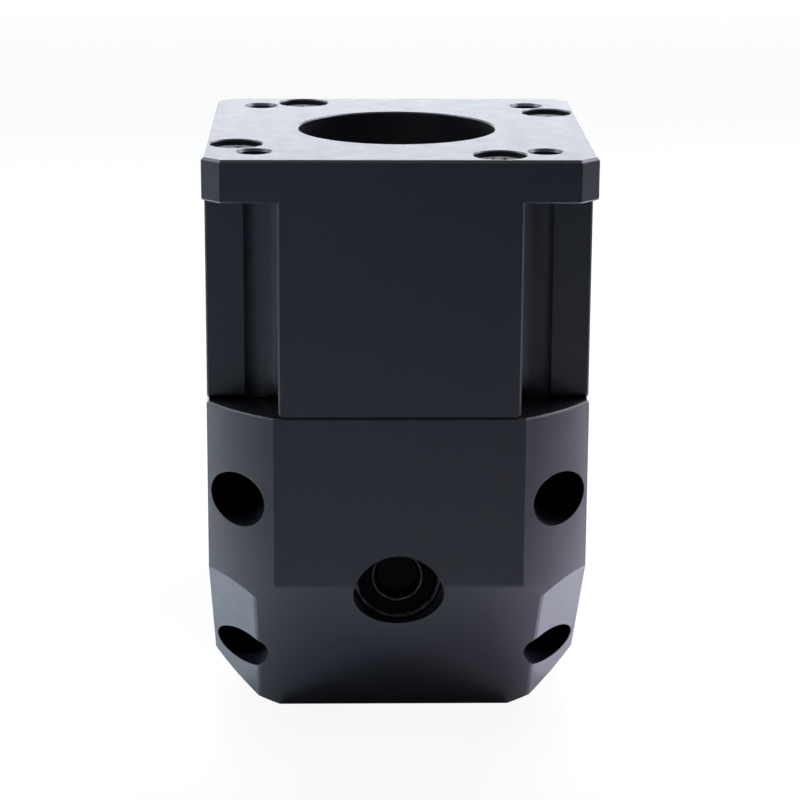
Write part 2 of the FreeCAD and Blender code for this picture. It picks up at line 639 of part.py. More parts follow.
def planet(angle, centre, width):
    """Planet in its place on the orbit, with a gap towards the sun and the ring."""
    teeth = spur_prism(PLANET_TEETH, ADDENDUM, DEDENDUM, GEAR_BACKLASH, angle + pi / PLANET_TEETH, width)
    bore = Part.makeCylinder(PLANET_PIN / 2 + PIN_CLEARANCE, width)
    return teeth.cut(bore).translated(centre)


def planet_pins(length):
    """Pins of one carrier, rising from the local origin."""
    return [Part.makeCylinder(PLANET_PIN / 2, length, centre) for _, centre in planet_places()]


def ring_gear():
    """Internal gear shared by both stages, with a tooth towards each planet."""
    length = RING_END - JOINT_Y
    blank = Part.makeCylinder(RING_GEAR_DIAMETER / 2, length)
    gaps = spur_prism(RING_TEETH, DEDENDUM, ADDENDUM, -GEAR_BACKLASH, pi / RING_TEETH, length)
    return on_output_axis(blank.cut(gaps), JOINT_Y)


def bevel_cone(teeth, pitch_angle, phase, lowest, highest):
    """Toothed cone with its apex at the local origin, long enough for a blank between two heights.

    The tooth profile is that of the equivalent spur gear, wrapped round the back cone, and every
    flank runs straight to the apex.
    """
    narrow = cos(pitch_angle)
    flank = tooth_flank(teeth / narrow, BEVEL_MODULE, ADDENDUM, DEDENDUM, BEVEL_BACKLASH)
    flank = [(r, half / narrow) for r, half in flank]
    rim = []
    for slant, azimuth in tooth_outline(teeth, flank, phase):
        radius = slant * narrow
        height = CONE_DISTANCE / narrow - slant * sin(pitch_angle)
        rim.append(V(radius * cos(azimuth), radius * sin(azimuth), height))
    middle = V(0, 0, CONE_DISTANCE * narrow)
    low = (1 - CONE_MARGIN) * lowest / middle.z
    high = (1 + CONE_MARGIN) * highest / middle.z
    faces = []
    for here, there in zip(rim, rim[1:] + rim[:1]):
        for corners in ([here * low, there * low, there * high, here * high],
                        [here * low, there * low, middle * low],
                        [here * high, there * high, middle * high]):
            faces.append(Part.Face(Part.makePolygon(corners + corners[:1])))
    shell = Part.makeShell(faces)
    shell.sewShape()
    return Part.makeSolid(shell)


def bevel_corners(pitch_angle):
    """(radius, height) round a tooth: inner root, inner top, outer top, outer root."""
    inner = CONE_DISTANCE - BEVEL_FACE
    depth = DEDENDUM * BEVEL_MODULE
    shallow = depth * inner / CONE_DISTANCE
    corners = []
    for distance, offset in ((inner, -shallow), (inner, shallow), (CONE_DISTANCE, depth),
                             (CONE_DISTANCE, -depth)):
        corners.append((distance * sin(pitch_angle) + offset * cos(pitch_angle),
                        distance * cos(pitch_angle) - offset * sin(pitch_angle)))
    return corners


PINION_END_Z = AXIS_Z + bevel_corners(PINION_ANGLE)[0][1]


def bevel_pinion():
    """Pinion on the input shaft, with a tooth towards the wheel."""
    inner_root, inner_top, outer_top, outer_root = bevel_corners(PINION_ANGLE)
    top = JOINT_Z - AXIS_Z
    bore = PINION_SEAT / 2
    hub = PINION_HUB / 2
    blank = turned([(bore, inner_root[1]), inner_root, inner_top, outer_top, outer_root,
                    (hub, outer_root[1]), (hub, top), (bore, top)])
    teeth = bevel_cone(PINION_TEETH, PINION_ANGLE, pi / 2, inner_top[1], top)
    return on_input_axis(blank.common(teeth), AXIS_Z)


def bevel_wheel():
    """Wheel on the wheel shaft, with a gap towards the pinion and a keyway."""
    inner_root, inner_top, outer_top, outer_root = bevel_corners(WHEEL_ANGLE)
    bore = WHEEL_SHAFT / 2
    hub_edge = inner_root[0] * WHEEL_FRONT / inner_root[1]
    blank = turned([(bore, WHEEL_FRONT), (hub_edge, WHEEL_FRONT), inner_root, inner_top, outer_top,
                    outer_root, (WHEEL_HUB / 2, WHEEL_BACK), (bore, WHEEL_BACK)])
    gap_up = pi / WHEEL_TEETH - pi / 2
    teeth = bevel_cone(WHEEL_TEETH, WHEEL_ANGLE, gap_up, min(WHEEL_FRONT, inner_top[1]), WHEEL_BACK)
    return on_output_axis(blank.common(teeth), 0).cut(wheel_key(KEY_GAP))


def wheel_key(gap):
    """Parallel key between the wheel and its shaft, grown by a gap."""
    half = WHEEL_KEY / 2 + gap
    length = WHEEL_KEY_LENGTH + 2 * gap
    start = (WHEEL_FRONT + WHEEL_BACK - length) / 2
    return Part.makeBox(2 * half, length, 2 * half, V(-half, start, AXIS_Z + WHEEL_SHAFT / 2 - half))


def clamp_hub():
    """Input shaft: split clamp for the motor shaft, two journals and the pinion seat."""
    journal = JOURNAL_BEARING.bore / 2
    body = chamfer_rims(rod_z(HUB_DIAMETER / 2, HUB_BASE, -HUB_DROP), EDGE_BREAK, "z", [HUB_BASE, -HUB_DROP])
    body = body.fuse([rod_z(journal + SPACER_WALL, UPPER_BEARING_TOP, HUB_BASE),
                      rod_z(journal, JOINT_Z, HUB_BASE),
                      rod_z(PINION_SEAT / 2, PINION_END_Z, HUB_BASE)]).removeSplitter()
    slot_height = -HUB_DROP - HUB_BASE
    head_room = CLAMP_HEAD / 2 + CLAMP_HEAD_GAP
    tap_start = CLAMP_HEAD_SEAT - CLAMP_LENGTH - TAP_RUNOUT
    pinion_tap = PINION_END_Z + PINION_SCREW_GRIP + TAP_RUNOUT
    cuts = [Part.makeBox(HUB_SLOT, HUB_DIAMETER, slot_height, V(-HUB_SLOT / 2, -HUB_DIAMETER, HUB_BASE)),
            rod_z(MOTOR_SHAFT / 2, -MOTOR_SHAFT_DEPTH, 0),
            rod_x(CLAMP_SCREW / 2 + THREAD_GAP, tap_start, HUB_DIAMETER, -CLAMP_OFFSET, CLAMP_Z),
            rod_x(head_room, CLAMP_HEAD_SEAT, HUB_DIAMETER, -CLAMP_OFFSET, CLAMP_Z),
            rod_z(SCREW / 2 + THREAD_GAP, PINION_END_Z, pinion_tap)]
    return body.cut(cuts)


def pinion_washer():
    """Washer between the pinion and its screw."""
    start = PINION_END_Z - PINION_WASHER
    disc = rod_z(PINION_WASHER_DIAMETER / 2, start, PINION_END_Z)
    return disc.cut(rod_z(SCREW_CLEARANCE_HOLE / 2, start, PINION_END_Z))


def pinion_screw():
    """Low head screw that holds the pinion on the input shaft."""
    screw = cap_screw(SCREW, SCREW_HEAD, PINION_SCREW_HEAD_HEIGHT, PINION_SCREW_GRIP + PINION_WASHER,
                      SCREW_SOCKET, PINION_SCREW_HEAD_HEIGHT / 2)
    screw.rotate(V(0, 0, 0), V(1, 0, 0), 180)
    return screw.translated(V(0, 0, PINION_END_Z - PINION_WASHER - PINION_SCREW_HEAD_HEIGHT))


def retaining_ring(shaft):
    """Open spring ring seated in a groove of a shaft, rising from the local origin."""
    inner = shaft / 2 - RETAINER_GROOVE
    outer = shaft / 2 + RETAINER_WALL
    ring = Part.makeCylinder(outer, RETAINER_THICKNESS).cut(Part.makeCylinder(inner, RETAINER_THICKNESS))
    return ring.cut(Part.makeBox(RETAINER_OPENING, outer, RETAINER_THICKNESS, V(-RETAINER_OPENING / 2, 0, 0)))


def retainer_groove(shaft):
    """Groove for a retaining ring, as a ring to cut from the shaft."""
    ring = Part.makeCylinder(shaft / 2, RETAINER_THICKNESS)
    return ring.cut(Part.makeCylinder(shaft / 2 - RETAINER_GROOVE, RETAINER_THICKNESS))


def wheel_shaft():
    """Shaft of the bevel wheel, from its rear journal to the first sun."""
    rear = REAR_BEARING_Y + REAR_SHAFT_RECESS
    body_start = REAR_SEAT_Y + REAR_SHOULDER + EDGE_BREAK
    journal = chamfer_rims(rod_y(REAR_BEARING.bore / 2, rear, body_start), EDGE_BREAK, "y", [rear])
    sun_width = FIRST_PLANET_Y + FIRST_PLANET_WIDTH - JOINT_Y
    shaft = journal.fuse([rod_y(REAR_BEARING.bore / 2 + REAR_BEARING.wall, REAR_SEAT_Y, body_start),
                          rod_y(WHEEL_SHAFT / 2, body_start, JOINT_Y),
                          on_output_axis(sun_teeth(sun_width), JOINT_Y)]).removeSplitter()
    groove = on_output_axis(retainer_groove(WHEEL_SHAFT), WHEEL_FRONT - RETAINER_THICKNESS)
    return shaft.cut([groove, wheel_key(KEY_GAP)])


def wheel_spacer():
    """Sleeve between the wheel and the shaft bearing."""
    outer = rod_y(WHEEL_SHAFT / 2 + SPACER_WALL, WHEEL_BACK, SHAFT_BEARING_Y)
    return outer.cut(rod_y(WHEEL_SHAFT / 2, WHEEL_BACK, SHAFT_BEARING_Y))


def bearing_plate():
    """Plate in the elbow that seats the shaft bearing."""
    plate = rod_y(PLATE_DIAMETER / 2, PLATE_Y, JOINT_Y)
    seat = rod_y(JOURNAL_BEARING.outside / 2, SHAFT_BEARING_Y, JOINT_Y)
    return plate.cut([seat, rod_y(RIM_BORE / 2, PLATE_Y, JOINT_Y)])


def first_carrier():
    """Carrier of the first stage with the sun of the second."""
    plate = Part.makeCylinder(CARRIER_DIAMETER / 2, CARRIER_THICKNESS)
    plate = plate.cut(planet_pins(CARRIER_THICKNESS))
    sun_width = SECOND_PLANET_Y + SECOND_PLANET_WIDTH - FIRST_CARRIER_Y
    return on_output_axis(plate.fuse(sun_teeth(sun_width)).removeSplitter(), FIRST_CARRIER_Y)


def output_shaft():
    """Carrier of the second stage in one piece with the output shaft and its flat."""
    plate = Part.makeCylinder(CARRIER_DIAMETER / 2, OUTPUT_CARRIER_THICKNESS)
    plate = on_output_axis(plate.cut(planet_pins(OUTPUT_CARRIER_THICKNESS)), SECOND_CARRIER_Y)
    nose = chamfer_rims(rod_y(OUTPUT_SHAFT / 2, OUTPUT_PLATE_END, SHAFT_END), OUTPUT_SHAFT_CHAMFER,
                        "y", [SHAFT_END])
    journal = OUTPUT_BEARING.bore / 2
    journal_end = OUTPUT_SHOULDER_Y + RETAINER_THICKNESS + STAGE_GAP
    shaft = plate.fuse([nose, rod_y(journal + COLLAR_WALL, OUTPUT_PLATE_END, OUTPUT_BEARING_Y),
                        rod_y(journal, OUTPUT_PLATE_END, journal_end),
                        rod_y(SEAL_LAND / 2, OUTPUT_PLATE_END, PILOT_END)]).removeSplitter()
    groove = on_output_axis(retainer_groove(OUTPUT_BEARING.bore), OUTPUT_SHOULDER_Y)
    centre = rod_y(CENTRE_HOLE / 2, SHAFT_END - CENTRE_HOLE_DEPTH, SHAFT_END)
    flat_z = AXIS_Z + OUTPUT_SHAFT / 2 - OUTPUT_FLAT
    flat_corner = V(-OUTPUT_SHAFT / 2, PILOT_END, flat_z)
    flat = Part.makeBox(OUTPUT_SHAFT, OUTPUT_SHAFT_LENGTH, OUTPUT_SHAFT, flat_corner)
    return shaft.cut([groove, centre, flat])


def output_seal():
    """Lip seal round the output shaft, hollowed on its outer face."""
    lip = SEAL_LAND / 2 + SEAL_LIP_GAP
    outer = SEAL_DIAMETER / 2
    rim = (outer + lip) / 2
    seal = turned([(lip, 0), (outer, 0), (outer, SEAL_WIDTH), (rim + EDGE_BREAK, SEAL_WIDTH),
                   (rim, SEAL_FLOOR), (lip + SEAL_LIP, SEAL_FLOOR), (lip, SEAL_FLOOR + SEAL_LIP)])
    return on_output_axis(seal, SEAL_Y)


def save_casings():
    """Casings, their screws, the plug and the seal."""
    save("input_housing", input_housing())
    save("elbow_housing", elbow_housing())
    save("output_housing", output_housing())
    save("bearing_plate", bearing_plate())
    save("flange_screws", *flange_screws())
    save("output_screws", *output_screws())
    save("access_plug", access_plug())
    save("output_seal", output_seal())


def save_bearings():
    """Rings, balls and shields of every bearing."""
    outer, inner, balls = ball_bearing(JOURNAL_BEARING)
    places = (JOINT_Z, UPPER_BEARING_Z)
    save("input_bearing_outer_rings", *[on_input_axis(outer, z) for z in places])
    save("input_bearing_inner_rings", *[on_input_axis(inner, z) for z in places])
    save("input_bearing_balls", *[on_input_axis(b, z) for z in places for b in balls])
    save("shaft_bearing_outer_ring", on_output_axis(outer, SHAFT_BEARING_Y))
    save("shaft_bearing_inner_ring", on_output_axis(inner, SHAFT_BEARING_Y))
    save("shaft_bearing_balls", *[on_output_axis(b, SHAFT_BEARING_Y) for b in balls])
    outer, inner, balls = ball_bearing(REAR_BEARING)
    save("rear_bearing_outer_ring", on_output_axis(outer, REAR_BEARING_Y))
    save("rear_bearing_inner_ring", on_output_axis(inner, REAR_BEARING_Y))
    save("rear_bearing_balls", *[on_output_axis(b, REAR_BEARING_Y) for b in balls])
    save("rear_bearing_shields", *[on_output_axis(s, REAR_BEARING_Y) for s in bearing_shields(REAR_BEARING)])
    outer, inner, balls = ball_bearing(OUTPUT_BEARING)
    places = (OUTPUT_BEARING_Y, OUTPUT_BEARING_Y + OUTPUT_BEARING.width)
    save("output_bearing_outer_rings", *[on_output_axis(outer, y) for y in places])
    save("output_bearing_inner_rings", *[on_output_axis(inner, y) for y in places])
    save("output_bearing_balls", *[on_output_axis(b, y) for y in places for b in balls])


def save_bevel_stage():
    """Input shaft, bevel pair and what holds the gears."""
    save("clamp_hub", clamp_hub())
    save("clamp_screw", clamp_screw())
    save("bevel_pinion", bevel_pinion())
    save("pinion_washer", pinion_washer())
    save("pinion_screw", pinion_screw())
    save("wheel_shaft", wheel_shaft())
    save("bevel_wheel", bevel_wheel())
    save("wheel_key", wheel_key(0))
    ring = retaining_ring(WHEEL_SHAFT)
    save("wheel_retaining_ring", on_output_axis(ring, WHEEL_FRONT - RETAINER_THICKNESS))
    save("wheel_spacer", wheel_spacer())


def save_planet_stages():
    """Ring gear, carriers, pins, planets and the output shaft."""
    save("ring_gear", ring_gear())
    save("first_carrier", first_carrier())
    save("output_shaft", output_shaft())
    save("output_retaining_ring", on_output_axis(retaining_ring(OUTPUT_BEARING.bore), OUTPUT_SHOULDER_Y))
    first_pins = planet_pins(FIRST_CARRIER_Y + CARRIER_THICKNESS - FIRST_PLANET_Y)
    second_pins = planet_pins(OUTPUT_PLATE_END - SECOND_PLANET_Y)
    save("first_planet_pins", *[on_output_axis(pin, FIRST_PLANET_Y) for pin in first_pins])
    save("second_planet_pins", *[on_output_axis(pin, SECOND_PLANET_Y) for pin in second_pins])
    for number, (angle, centre) in enumerate(planet_places(), 1):
        first = planet(angle, centre, FIRST_PLANET_WIDTH)
        second = planet(angle, centre, SECOND_PLANET_WIDTH)
        save("first_planet_%d" % number, on_output_axis(first, FIRST_PLANET_Y))
        save("second_planet_%d" % number, on_output_axis(second, SECOND_PLANET_Y))


os.makedirs("parts", exist_ok=True)
save_casings()
save_bearings()
save_bevel_stage()
save_planet_stages()
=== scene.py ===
"""Dressed model of a right angle planetary gearbox, laid out as an add-on and run as a script."""
import math
from typing import NamedTuple

import bpy
import numpy as np
from bpy.props import FloatProperty, FloatVectorProperty, IntProperty, PointerProperty
from mathutils import Matrix, Vector


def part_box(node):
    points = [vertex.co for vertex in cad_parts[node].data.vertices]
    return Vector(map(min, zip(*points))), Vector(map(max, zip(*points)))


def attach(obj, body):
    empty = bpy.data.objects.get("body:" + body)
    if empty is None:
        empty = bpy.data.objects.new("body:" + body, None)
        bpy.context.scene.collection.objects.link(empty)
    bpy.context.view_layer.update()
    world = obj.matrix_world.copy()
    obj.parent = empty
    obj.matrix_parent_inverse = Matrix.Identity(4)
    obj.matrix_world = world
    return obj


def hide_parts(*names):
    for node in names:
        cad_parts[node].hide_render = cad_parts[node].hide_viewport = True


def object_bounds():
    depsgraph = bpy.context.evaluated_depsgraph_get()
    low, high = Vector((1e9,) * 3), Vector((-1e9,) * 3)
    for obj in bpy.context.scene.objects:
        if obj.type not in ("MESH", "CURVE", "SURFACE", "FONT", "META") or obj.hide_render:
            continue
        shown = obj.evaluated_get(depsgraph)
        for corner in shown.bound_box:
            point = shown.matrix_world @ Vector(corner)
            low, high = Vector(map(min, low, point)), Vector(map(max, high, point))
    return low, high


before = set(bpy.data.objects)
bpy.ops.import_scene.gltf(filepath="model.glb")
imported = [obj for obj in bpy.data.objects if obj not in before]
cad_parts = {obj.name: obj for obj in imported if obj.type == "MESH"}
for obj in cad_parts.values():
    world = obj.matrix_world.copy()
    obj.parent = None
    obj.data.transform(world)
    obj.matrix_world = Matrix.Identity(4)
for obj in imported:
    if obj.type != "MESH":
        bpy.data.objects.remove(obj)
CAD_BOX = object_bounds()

bl_info = {
    "name": "Right angle planetary gearbox",
    "version": (1, 0, 0),
    "blender": (4, 5, 0),
    "location": "View3D > Sidebar > Gearbox",
    "description": "Screws, seal, cages, threads, finishes and stage of a right angle planetary gearbox",
    "category": "Object",
}


class Axis(NamedTuple):
    """A point on an axis of the gearbox, and the letter of its direction."""
    centre: tuple
    along: str


class Screw(NamedTuple):
    """Diameters of a cap screw's shank and head, the head's height, its socket's width and the pitch."""
    shank: float
    head: float
    head_height: float
    socket: float
    pitch: float


class Cage(NamedTuple):
    """Cage of a ball bearing: direction of its axis, ball diameter, balls in a row, and rows."""
    bearing: str
    direction: str
    ball: float
    count: int
    rows: int

    @property
    def balls(self):
        """Node, and body, of the balls that the cage spaces."""
        return self.bearing + "_bearing_balls"


class SoftBox(NamedTuple):
    """Where a lamp stands, the point that it faces, and the width and height of its face."""
    place: tuple
    target: tuple
    size: tuple


TURN = 2 * math.pi
HEX = TURN / 6
SHARP = math.radians(32)
COLUMNS = 96

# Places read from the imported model
FLOOR_Z = CAD_BOX[0].z
AXIS_Z = sum(c.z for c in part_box("wheel_shaft")) / 2
OUTPUT_FACE_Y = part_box("output_housing")[1].y
INPUT_AXIS = Axis((0.0, 0.0, 0.0), "Z")
OUTPUT_AXIS = Axis((0.0, 0.0, AXIS_Z), "Y")

# Parts of a place that lie across an axis, by the axis' direction
ACROSS = {"Z": (1.0, 1.0, 0.0), "Y": (1.0, 0.0, 1.0)}

# Turns that take the local Z axis of a piece to its direction in the gearbox
UP = np.eye(3)
DOWN = np.array([[1, 0, 0], [0, -1, 0], [0, 0, -1]])
BACK = np.array([[1, 0, 0], [0, 0, 1], [0, -1, 0]])
FORWARD = np.array([[1, 0, 0], [0, 0, -1], [0, 1, 0]])
RIGHT = np.array([[0, 0, 1], [0, 1, 0], [-1, 0, 0]])

# Screw thread: rows in a turn, depth and tip chamfer over the pitch, and pitches of a short screw left plain
ROWS_PER_TURN = 4
THREAD_DEPTH = 0.6
TIP_CHAMFER = 0.6
THREAD_RUNOUT = 3

# Screw head: share of its height below the top, share of its radius, and 1 where it is knurled
HEAD_PROFILE = (
    (1.00, 0.950, 0), (0.95, 1.000, 0), (0.90, 1.000, 0), (0.86, 1.000, 1), (0.20, 1.000, 1),
    (0.15, 0.985, 0), (0.07, 0.980, 0), (0.02, 0.955, 0), (0.00, 0.920, 0),
)

# Screw socket: depth and chamfer over the head's height, and mouth over the hexagon's corner radius
SOCKET_DEPTH = 0.53
SOCKET_CHAMFER = 0.05
SOCKET_MOUTH = 1.07

# Drilled end of a screw socket: radius and depth over its width across flats
DRILL_RADIUS = 0.45
DRILL_POINT = 0.22

# Degrees by which the four screws of a set happen to be turned
SCREW_TWISTS = (12, 38, 24, 3)

# Lip seal: share of the wall, from the lip to the case, and share of the width
SEAL_PROFILE = np.array([
    (0.93, 0.00), (1.00, 0.10), (1.00, 0.90), (0.94, 1.00), (0.74, 1.00), (0.70, 0.96), (0.69, 0.76),
    (0.62, 0.68), (0.40, 0.64), (0.29, 0.68), (0.20, 0.82), (0.06, 0.93), (0.00, 0.92), (0.00, 0.87),
    (0.12, 0.68), (0.13, 0.58), (0.03, 0.44), (0.00, 0.40), (0.02, 0.36), (0.16, 0.26), (0.19, 0.10),
    (0.30, 0.04), (0.55, 0.05),
])

# Tapped hole: rows in a pitch, thread height over the pitch, and bore and skin over the hole's diameter
TAP_ROWS = 6
TAP_HEIGHT = 0.5
TAP_BORE = 0.99
TAP_SKIN = 1.03

# Ball cages: columns for each ball, pocket over the ball's radius, power of its wave, and rib over the sheet
CAGE_COLUMNS = 28
POCKET_WIDTH = 1.15
POCKET_POWER = 4
RIB_HEIGHT = 0.55

# Section of a cage's strip over its half width and half thickness
CAGE_STRIP = np.array([
    (-1, -0.6), (-0.9, -1), (0.9, -1), (1, -0.6), (1, 0.6), (0.9, 1), (-0.9, 1), (-1, 0.6),
])
CAGES = (Cage("input", "z", 0.0038, 7, 2), Cage("shaft", "y", 0.0038, 7, 1),
         Cage("rear", "y", 0.0015, 9, 1), Cage("output", "y", 0.0032, 11, 2))

# Lamps, the last two given for the right side and mirrored to the left
BACK_BOX = SoftBox((0.0, 0.75, 0.06), (0.0, 0.0, 0.0), (1.6, 0.30))
LEFT_BOX = SoftBox((-0.255, 0.228, 0.30), (-0.221, 0.129, FLOOR_Z), (0.42, 0.24))
RIGHT_BOX = SoftBox((0.235, 0.263, 0.258), (0.167, 0.165, FLOOR_Z), (0.29, 0.24))
FRONT_BOX = SoftBox((-0.30, -0.55, 0.25), (-0.16, -0.45, FLOOR_Z), (0.20, 0.20))
POOL_BOX = SoftBox((0.07, 0.16, 0.50), (0.055, 0.005, FLOOR_Z), (0.04, 0.04))
LOW_BOX = SoftBox((0.20, -0.03, 0.03), (0.036, -0.018, FLOOR_Z), (0.05, 0.05))
OPEN_BEAM = math.pi

# Headings between which the white surroundings fade in
FADE_BEHIND = (-0.3, 0.5)
FADE_LEFT = (0.05, -0.25)
FADE_OVER = (0.2, 0.9)
WHITE = (1.0, 1.0, 1.0, 1.0)
FLOOR_RADIUS = 4.0

# Stretch of the gears' feed marks, and pits across a patch of oiled steel
FEED_STRETCH = (0.25, 1.0, 0.25)
PITS_PER_PATCH = 6

# Colour sockets of the Mix node, by their place, and samples of the Bevel node
MIX_LOW = 6
MIX_HIGH = 7
MIX_RESULT = 2
BEVEL_SAMPLES = 4


def length(name, description, default):
    """A property that holds a length in metres."""
    return FloatProperty(name=name, description=description, default=default, min=0.0, precision=6,
                         unit="LENGTH", subtype="DISTANCE")


def factor(name, description, default):
    """A property that holds a share from 0 to 1."""
    return FloatProperty(name=name, description=description, default=default, min=0.0, max=1.0,
                         subtype="FACTOR")


def level(name, description, default):
    """A property that holds the brightness of a lamp's face."""
    return FloatProperty(name=name, description=description, default=default, min=0.0)


def colour(name, description, default):
    """A property that holds a linear colour."""
    return FloatVectorProperty(name=name, description=description, default=default, min=0.0, max=1.0,
                               size=3, subtype="COLOR")


def angle(name, description, degrees):
    """A property that holds an angle, given in degrees."""
    return FloatProperty(name=name, description=description, default=math.radians(degrees),
                         unit="ROTATION", subtype="ANGLE")


class GearboxCasingLook(bpy.types.PropertyGroup):
    """Finish of the blasted and anodised casings."""
    dye: colour("Dye", "Colour of the anodised skin", (0.0068, 0.0086, 0.0138))
    bloom: colour("Bloom", "Colour of the paler patches of the skin", (0.0112, 0.0140, 0.0222))
    roughness: factor("Roughness", "Mean roughness of the skin", 0.36)
    skin_index: FloatProperty(name="Skin index", description="Refractive index of the oxide skin",
                              default=1.6, min=1.0)
    patch: length("Patch size", "Size of the faint patches", 0.0024)
    speck: length("Speck size", "Size of the specks within the patches", 0.00064)
    grain: length("Grain size", "Size of the blasted grain", 0.00016)
    grain_height: length("Grain height", "Height of the blasted grain", 0.000004)
    edge_round: length("Edge round", "Radius over which edges are softened", 0.00010)


class GearboxMetalLook(bpy.types.PropertyGroup):
    """Colours and marks of the bare pieces."""
    screw_steel: colour("Screw steel", "Oiled steel of the screws and the plug", (0.15, 0.151, 0.150))
    gear_steel: colour("Gear steel", "Hobbed and hardened steel of the gears", (0.30, 0.295, 0.285))
    shaft_steel: colour("Shaft steel", "Ground steel of the shafts and pins", (0.36, 0.36, 0.37))
    hub_steel: colour("Hub steel", "Turned and oiled steel of the clamp hub", (0.28, 0.28, 0.284))
    bearing_steel: colour("Bearing steel", "Ground steel of the bearing rings", (0.47, 0.475, 0.48))
    ball_steel: colour("Ball steel", "Polished steel of the balls", (0.66, 0.665, 0.67))
    spring_steel: colour("Spring steel", "Dark spring steel of the retaining rings", (0.085, 0.085, 0.09))
    # Painted shade: near-black steel for the wheel shaft, the rear bearing's shields and the dark of its
    # inner ring, standing in for the shade deep in the rear bore.
    bore_shade_steel: colour("Black steel", "Blackened steel of the wheel shaft and its rear bearing",
                        (0.007, 0.007, 0.008))
    # Grey of the rear bearing's outer ring, and also the painted highlight of the bright circles on its inner
    # ring.
    ring_grey_and_glint: colour("Rubbed steel", "Blackened steel where it is rubbed bright", (0.20, 0.20, 0.21))
    aluminium: colour("Aluminium", "Bare turned aluminium", (0.66, 0.665, 0.67))
    rubber: colour("Rubber", "Rubber of the output seal", (0.011, 0.011, 0.012))
    rubber_bloom: colour("Rubber bloom", "Dusty bloom of the output seal", (0.0242, 0.0242, 0.0264))
    # Painted highlight: radius, spacing and breaks of the bright circles painted on the rear bearing's inner
    # ring.
    line_radius: length("Line radius", "Radius of the inner bright line of the rear bearing", 0.00270)
    line_pitch: length("Line pitch", "Distance between the bright lines of the rear bearing", 0.00022)
    line_break: length("Line break", "Size of the breaks in the bright lines", 0.00072)
    tool_pitch: length("Tool pitch", "Distance between turning marks", 0.00012)
    tool_depth: length("Tool depth", "Depth of the turning marks", 0.0000025)
    stain: length("Stain size", "Size of the stains on turned metal", 0.00216)
    feed_pitch: length("Feed pitch", "Distance between the feed marks of the gears", 0.00018)
    film: length("Film size", "Size of the patches in the oil on the gears", 0.0016)
    mottle: length("Mottle size", "Size of the grey patches of oiled steel", 0.0006)
    ring_mottle: length("Ring mottle", "Size of the patches on the rear bearing's outer ring", 0.0007)
    shield_mottle: length("Shield mottle", "Size of the patches on the pressed shields", 0.00035)
    pit_depth: length("Pit depth", "Depth of the pits in oiled or pressed steel", 0.000005)
    dust: length("Dust size", "Size of the dusty patches of the seal", 0.0012)
    pore: length("Pore size", "Size of the pores of the seal", 0.00009)
    pore_depth: length("Pore depth", "Depth of the pores of the seal", 0.00000375)


class GearboxScrewSizes(bpy.types.PropertyGroup):
    """Sizes of the cap screws that their nodes leave plain."""
    side: length("Screw side", "Middle plane to the screws nearest a side of the casing", 0.01757)
    offset: length("Screw offset", "Middle plane to the screws across the casing", 0.01056)
    shank: length("Shank", "Diameter of the casing screws", 0.003)
    head: length("Head", "Diameter of the casing screws' heads", 0.0055)
    head_height: length("Head height", "Height of the casing screws' heads", 0.003)
    socket: length("Socket", "Width of the casing screws' sockets across flats", 0.0025)
    pitch: length("Pitch", "Thread pitch of the casing screws", 0.0005)
    thread: length("Thread length", "Thread on the flange's screws", 0.018)
    clamp_shank: length("Clamp shank", "Diameter of the clamp screw", 0.0025)
    clamp_head_height: length("Clamp head height", "Height of the clamp screw's head", 0.0025)
    clamp_socket: length("Clamp socket", "Width of the clamp screw's socket", 0.002)
    clamp_pitch: length("Clamp pitch", "Thread pitch of the clamp screw", 0.00045)
    pinion_head_height: length("Pinion head height", "Height of the pinion screw's low head", 0.002)
    knurl_teeth: IntProperty(name="Knurl teeth", description="Ridges round a head", default=24, min=3)
    knurl_depth: length("Knurl depth", "Depth of the ridges round a head", 0.00012)


class GearboxTrimSizes(bpy.types.PropertyGroup):
    """Sizes of the seal, the cages and the threads of the output holes."""
    seal_lip: length("Seal lip", "Radius of the output seal's lip", 0.00555)
    hole_circle: length("Hole circle", "Diameter of the circle of output holes", 0.034)
    hole: length("Hole", "Thread diameter of the output holes", 0.004)
    hole_depth: length("Hole depth", "Depth of the output holes", 0.008)
    hole_pitch: length("Hole pitch", "Thread pitch of the output holes", 0.0007)
    pilot_height: length("Pilot height", "Output face to the top of its pilot", 0.002)
    cage_sheet: factor("Cage sheet", "Thickness of a cage's sheet over a ball's radius", 0.16)
    cage_gap: factor("Cage gap", "Room between ball and cage over a ball's radius", 0.07)
    cage_width: factor("Cage width", "Width of a cage over a ball's diameter", 0.48)


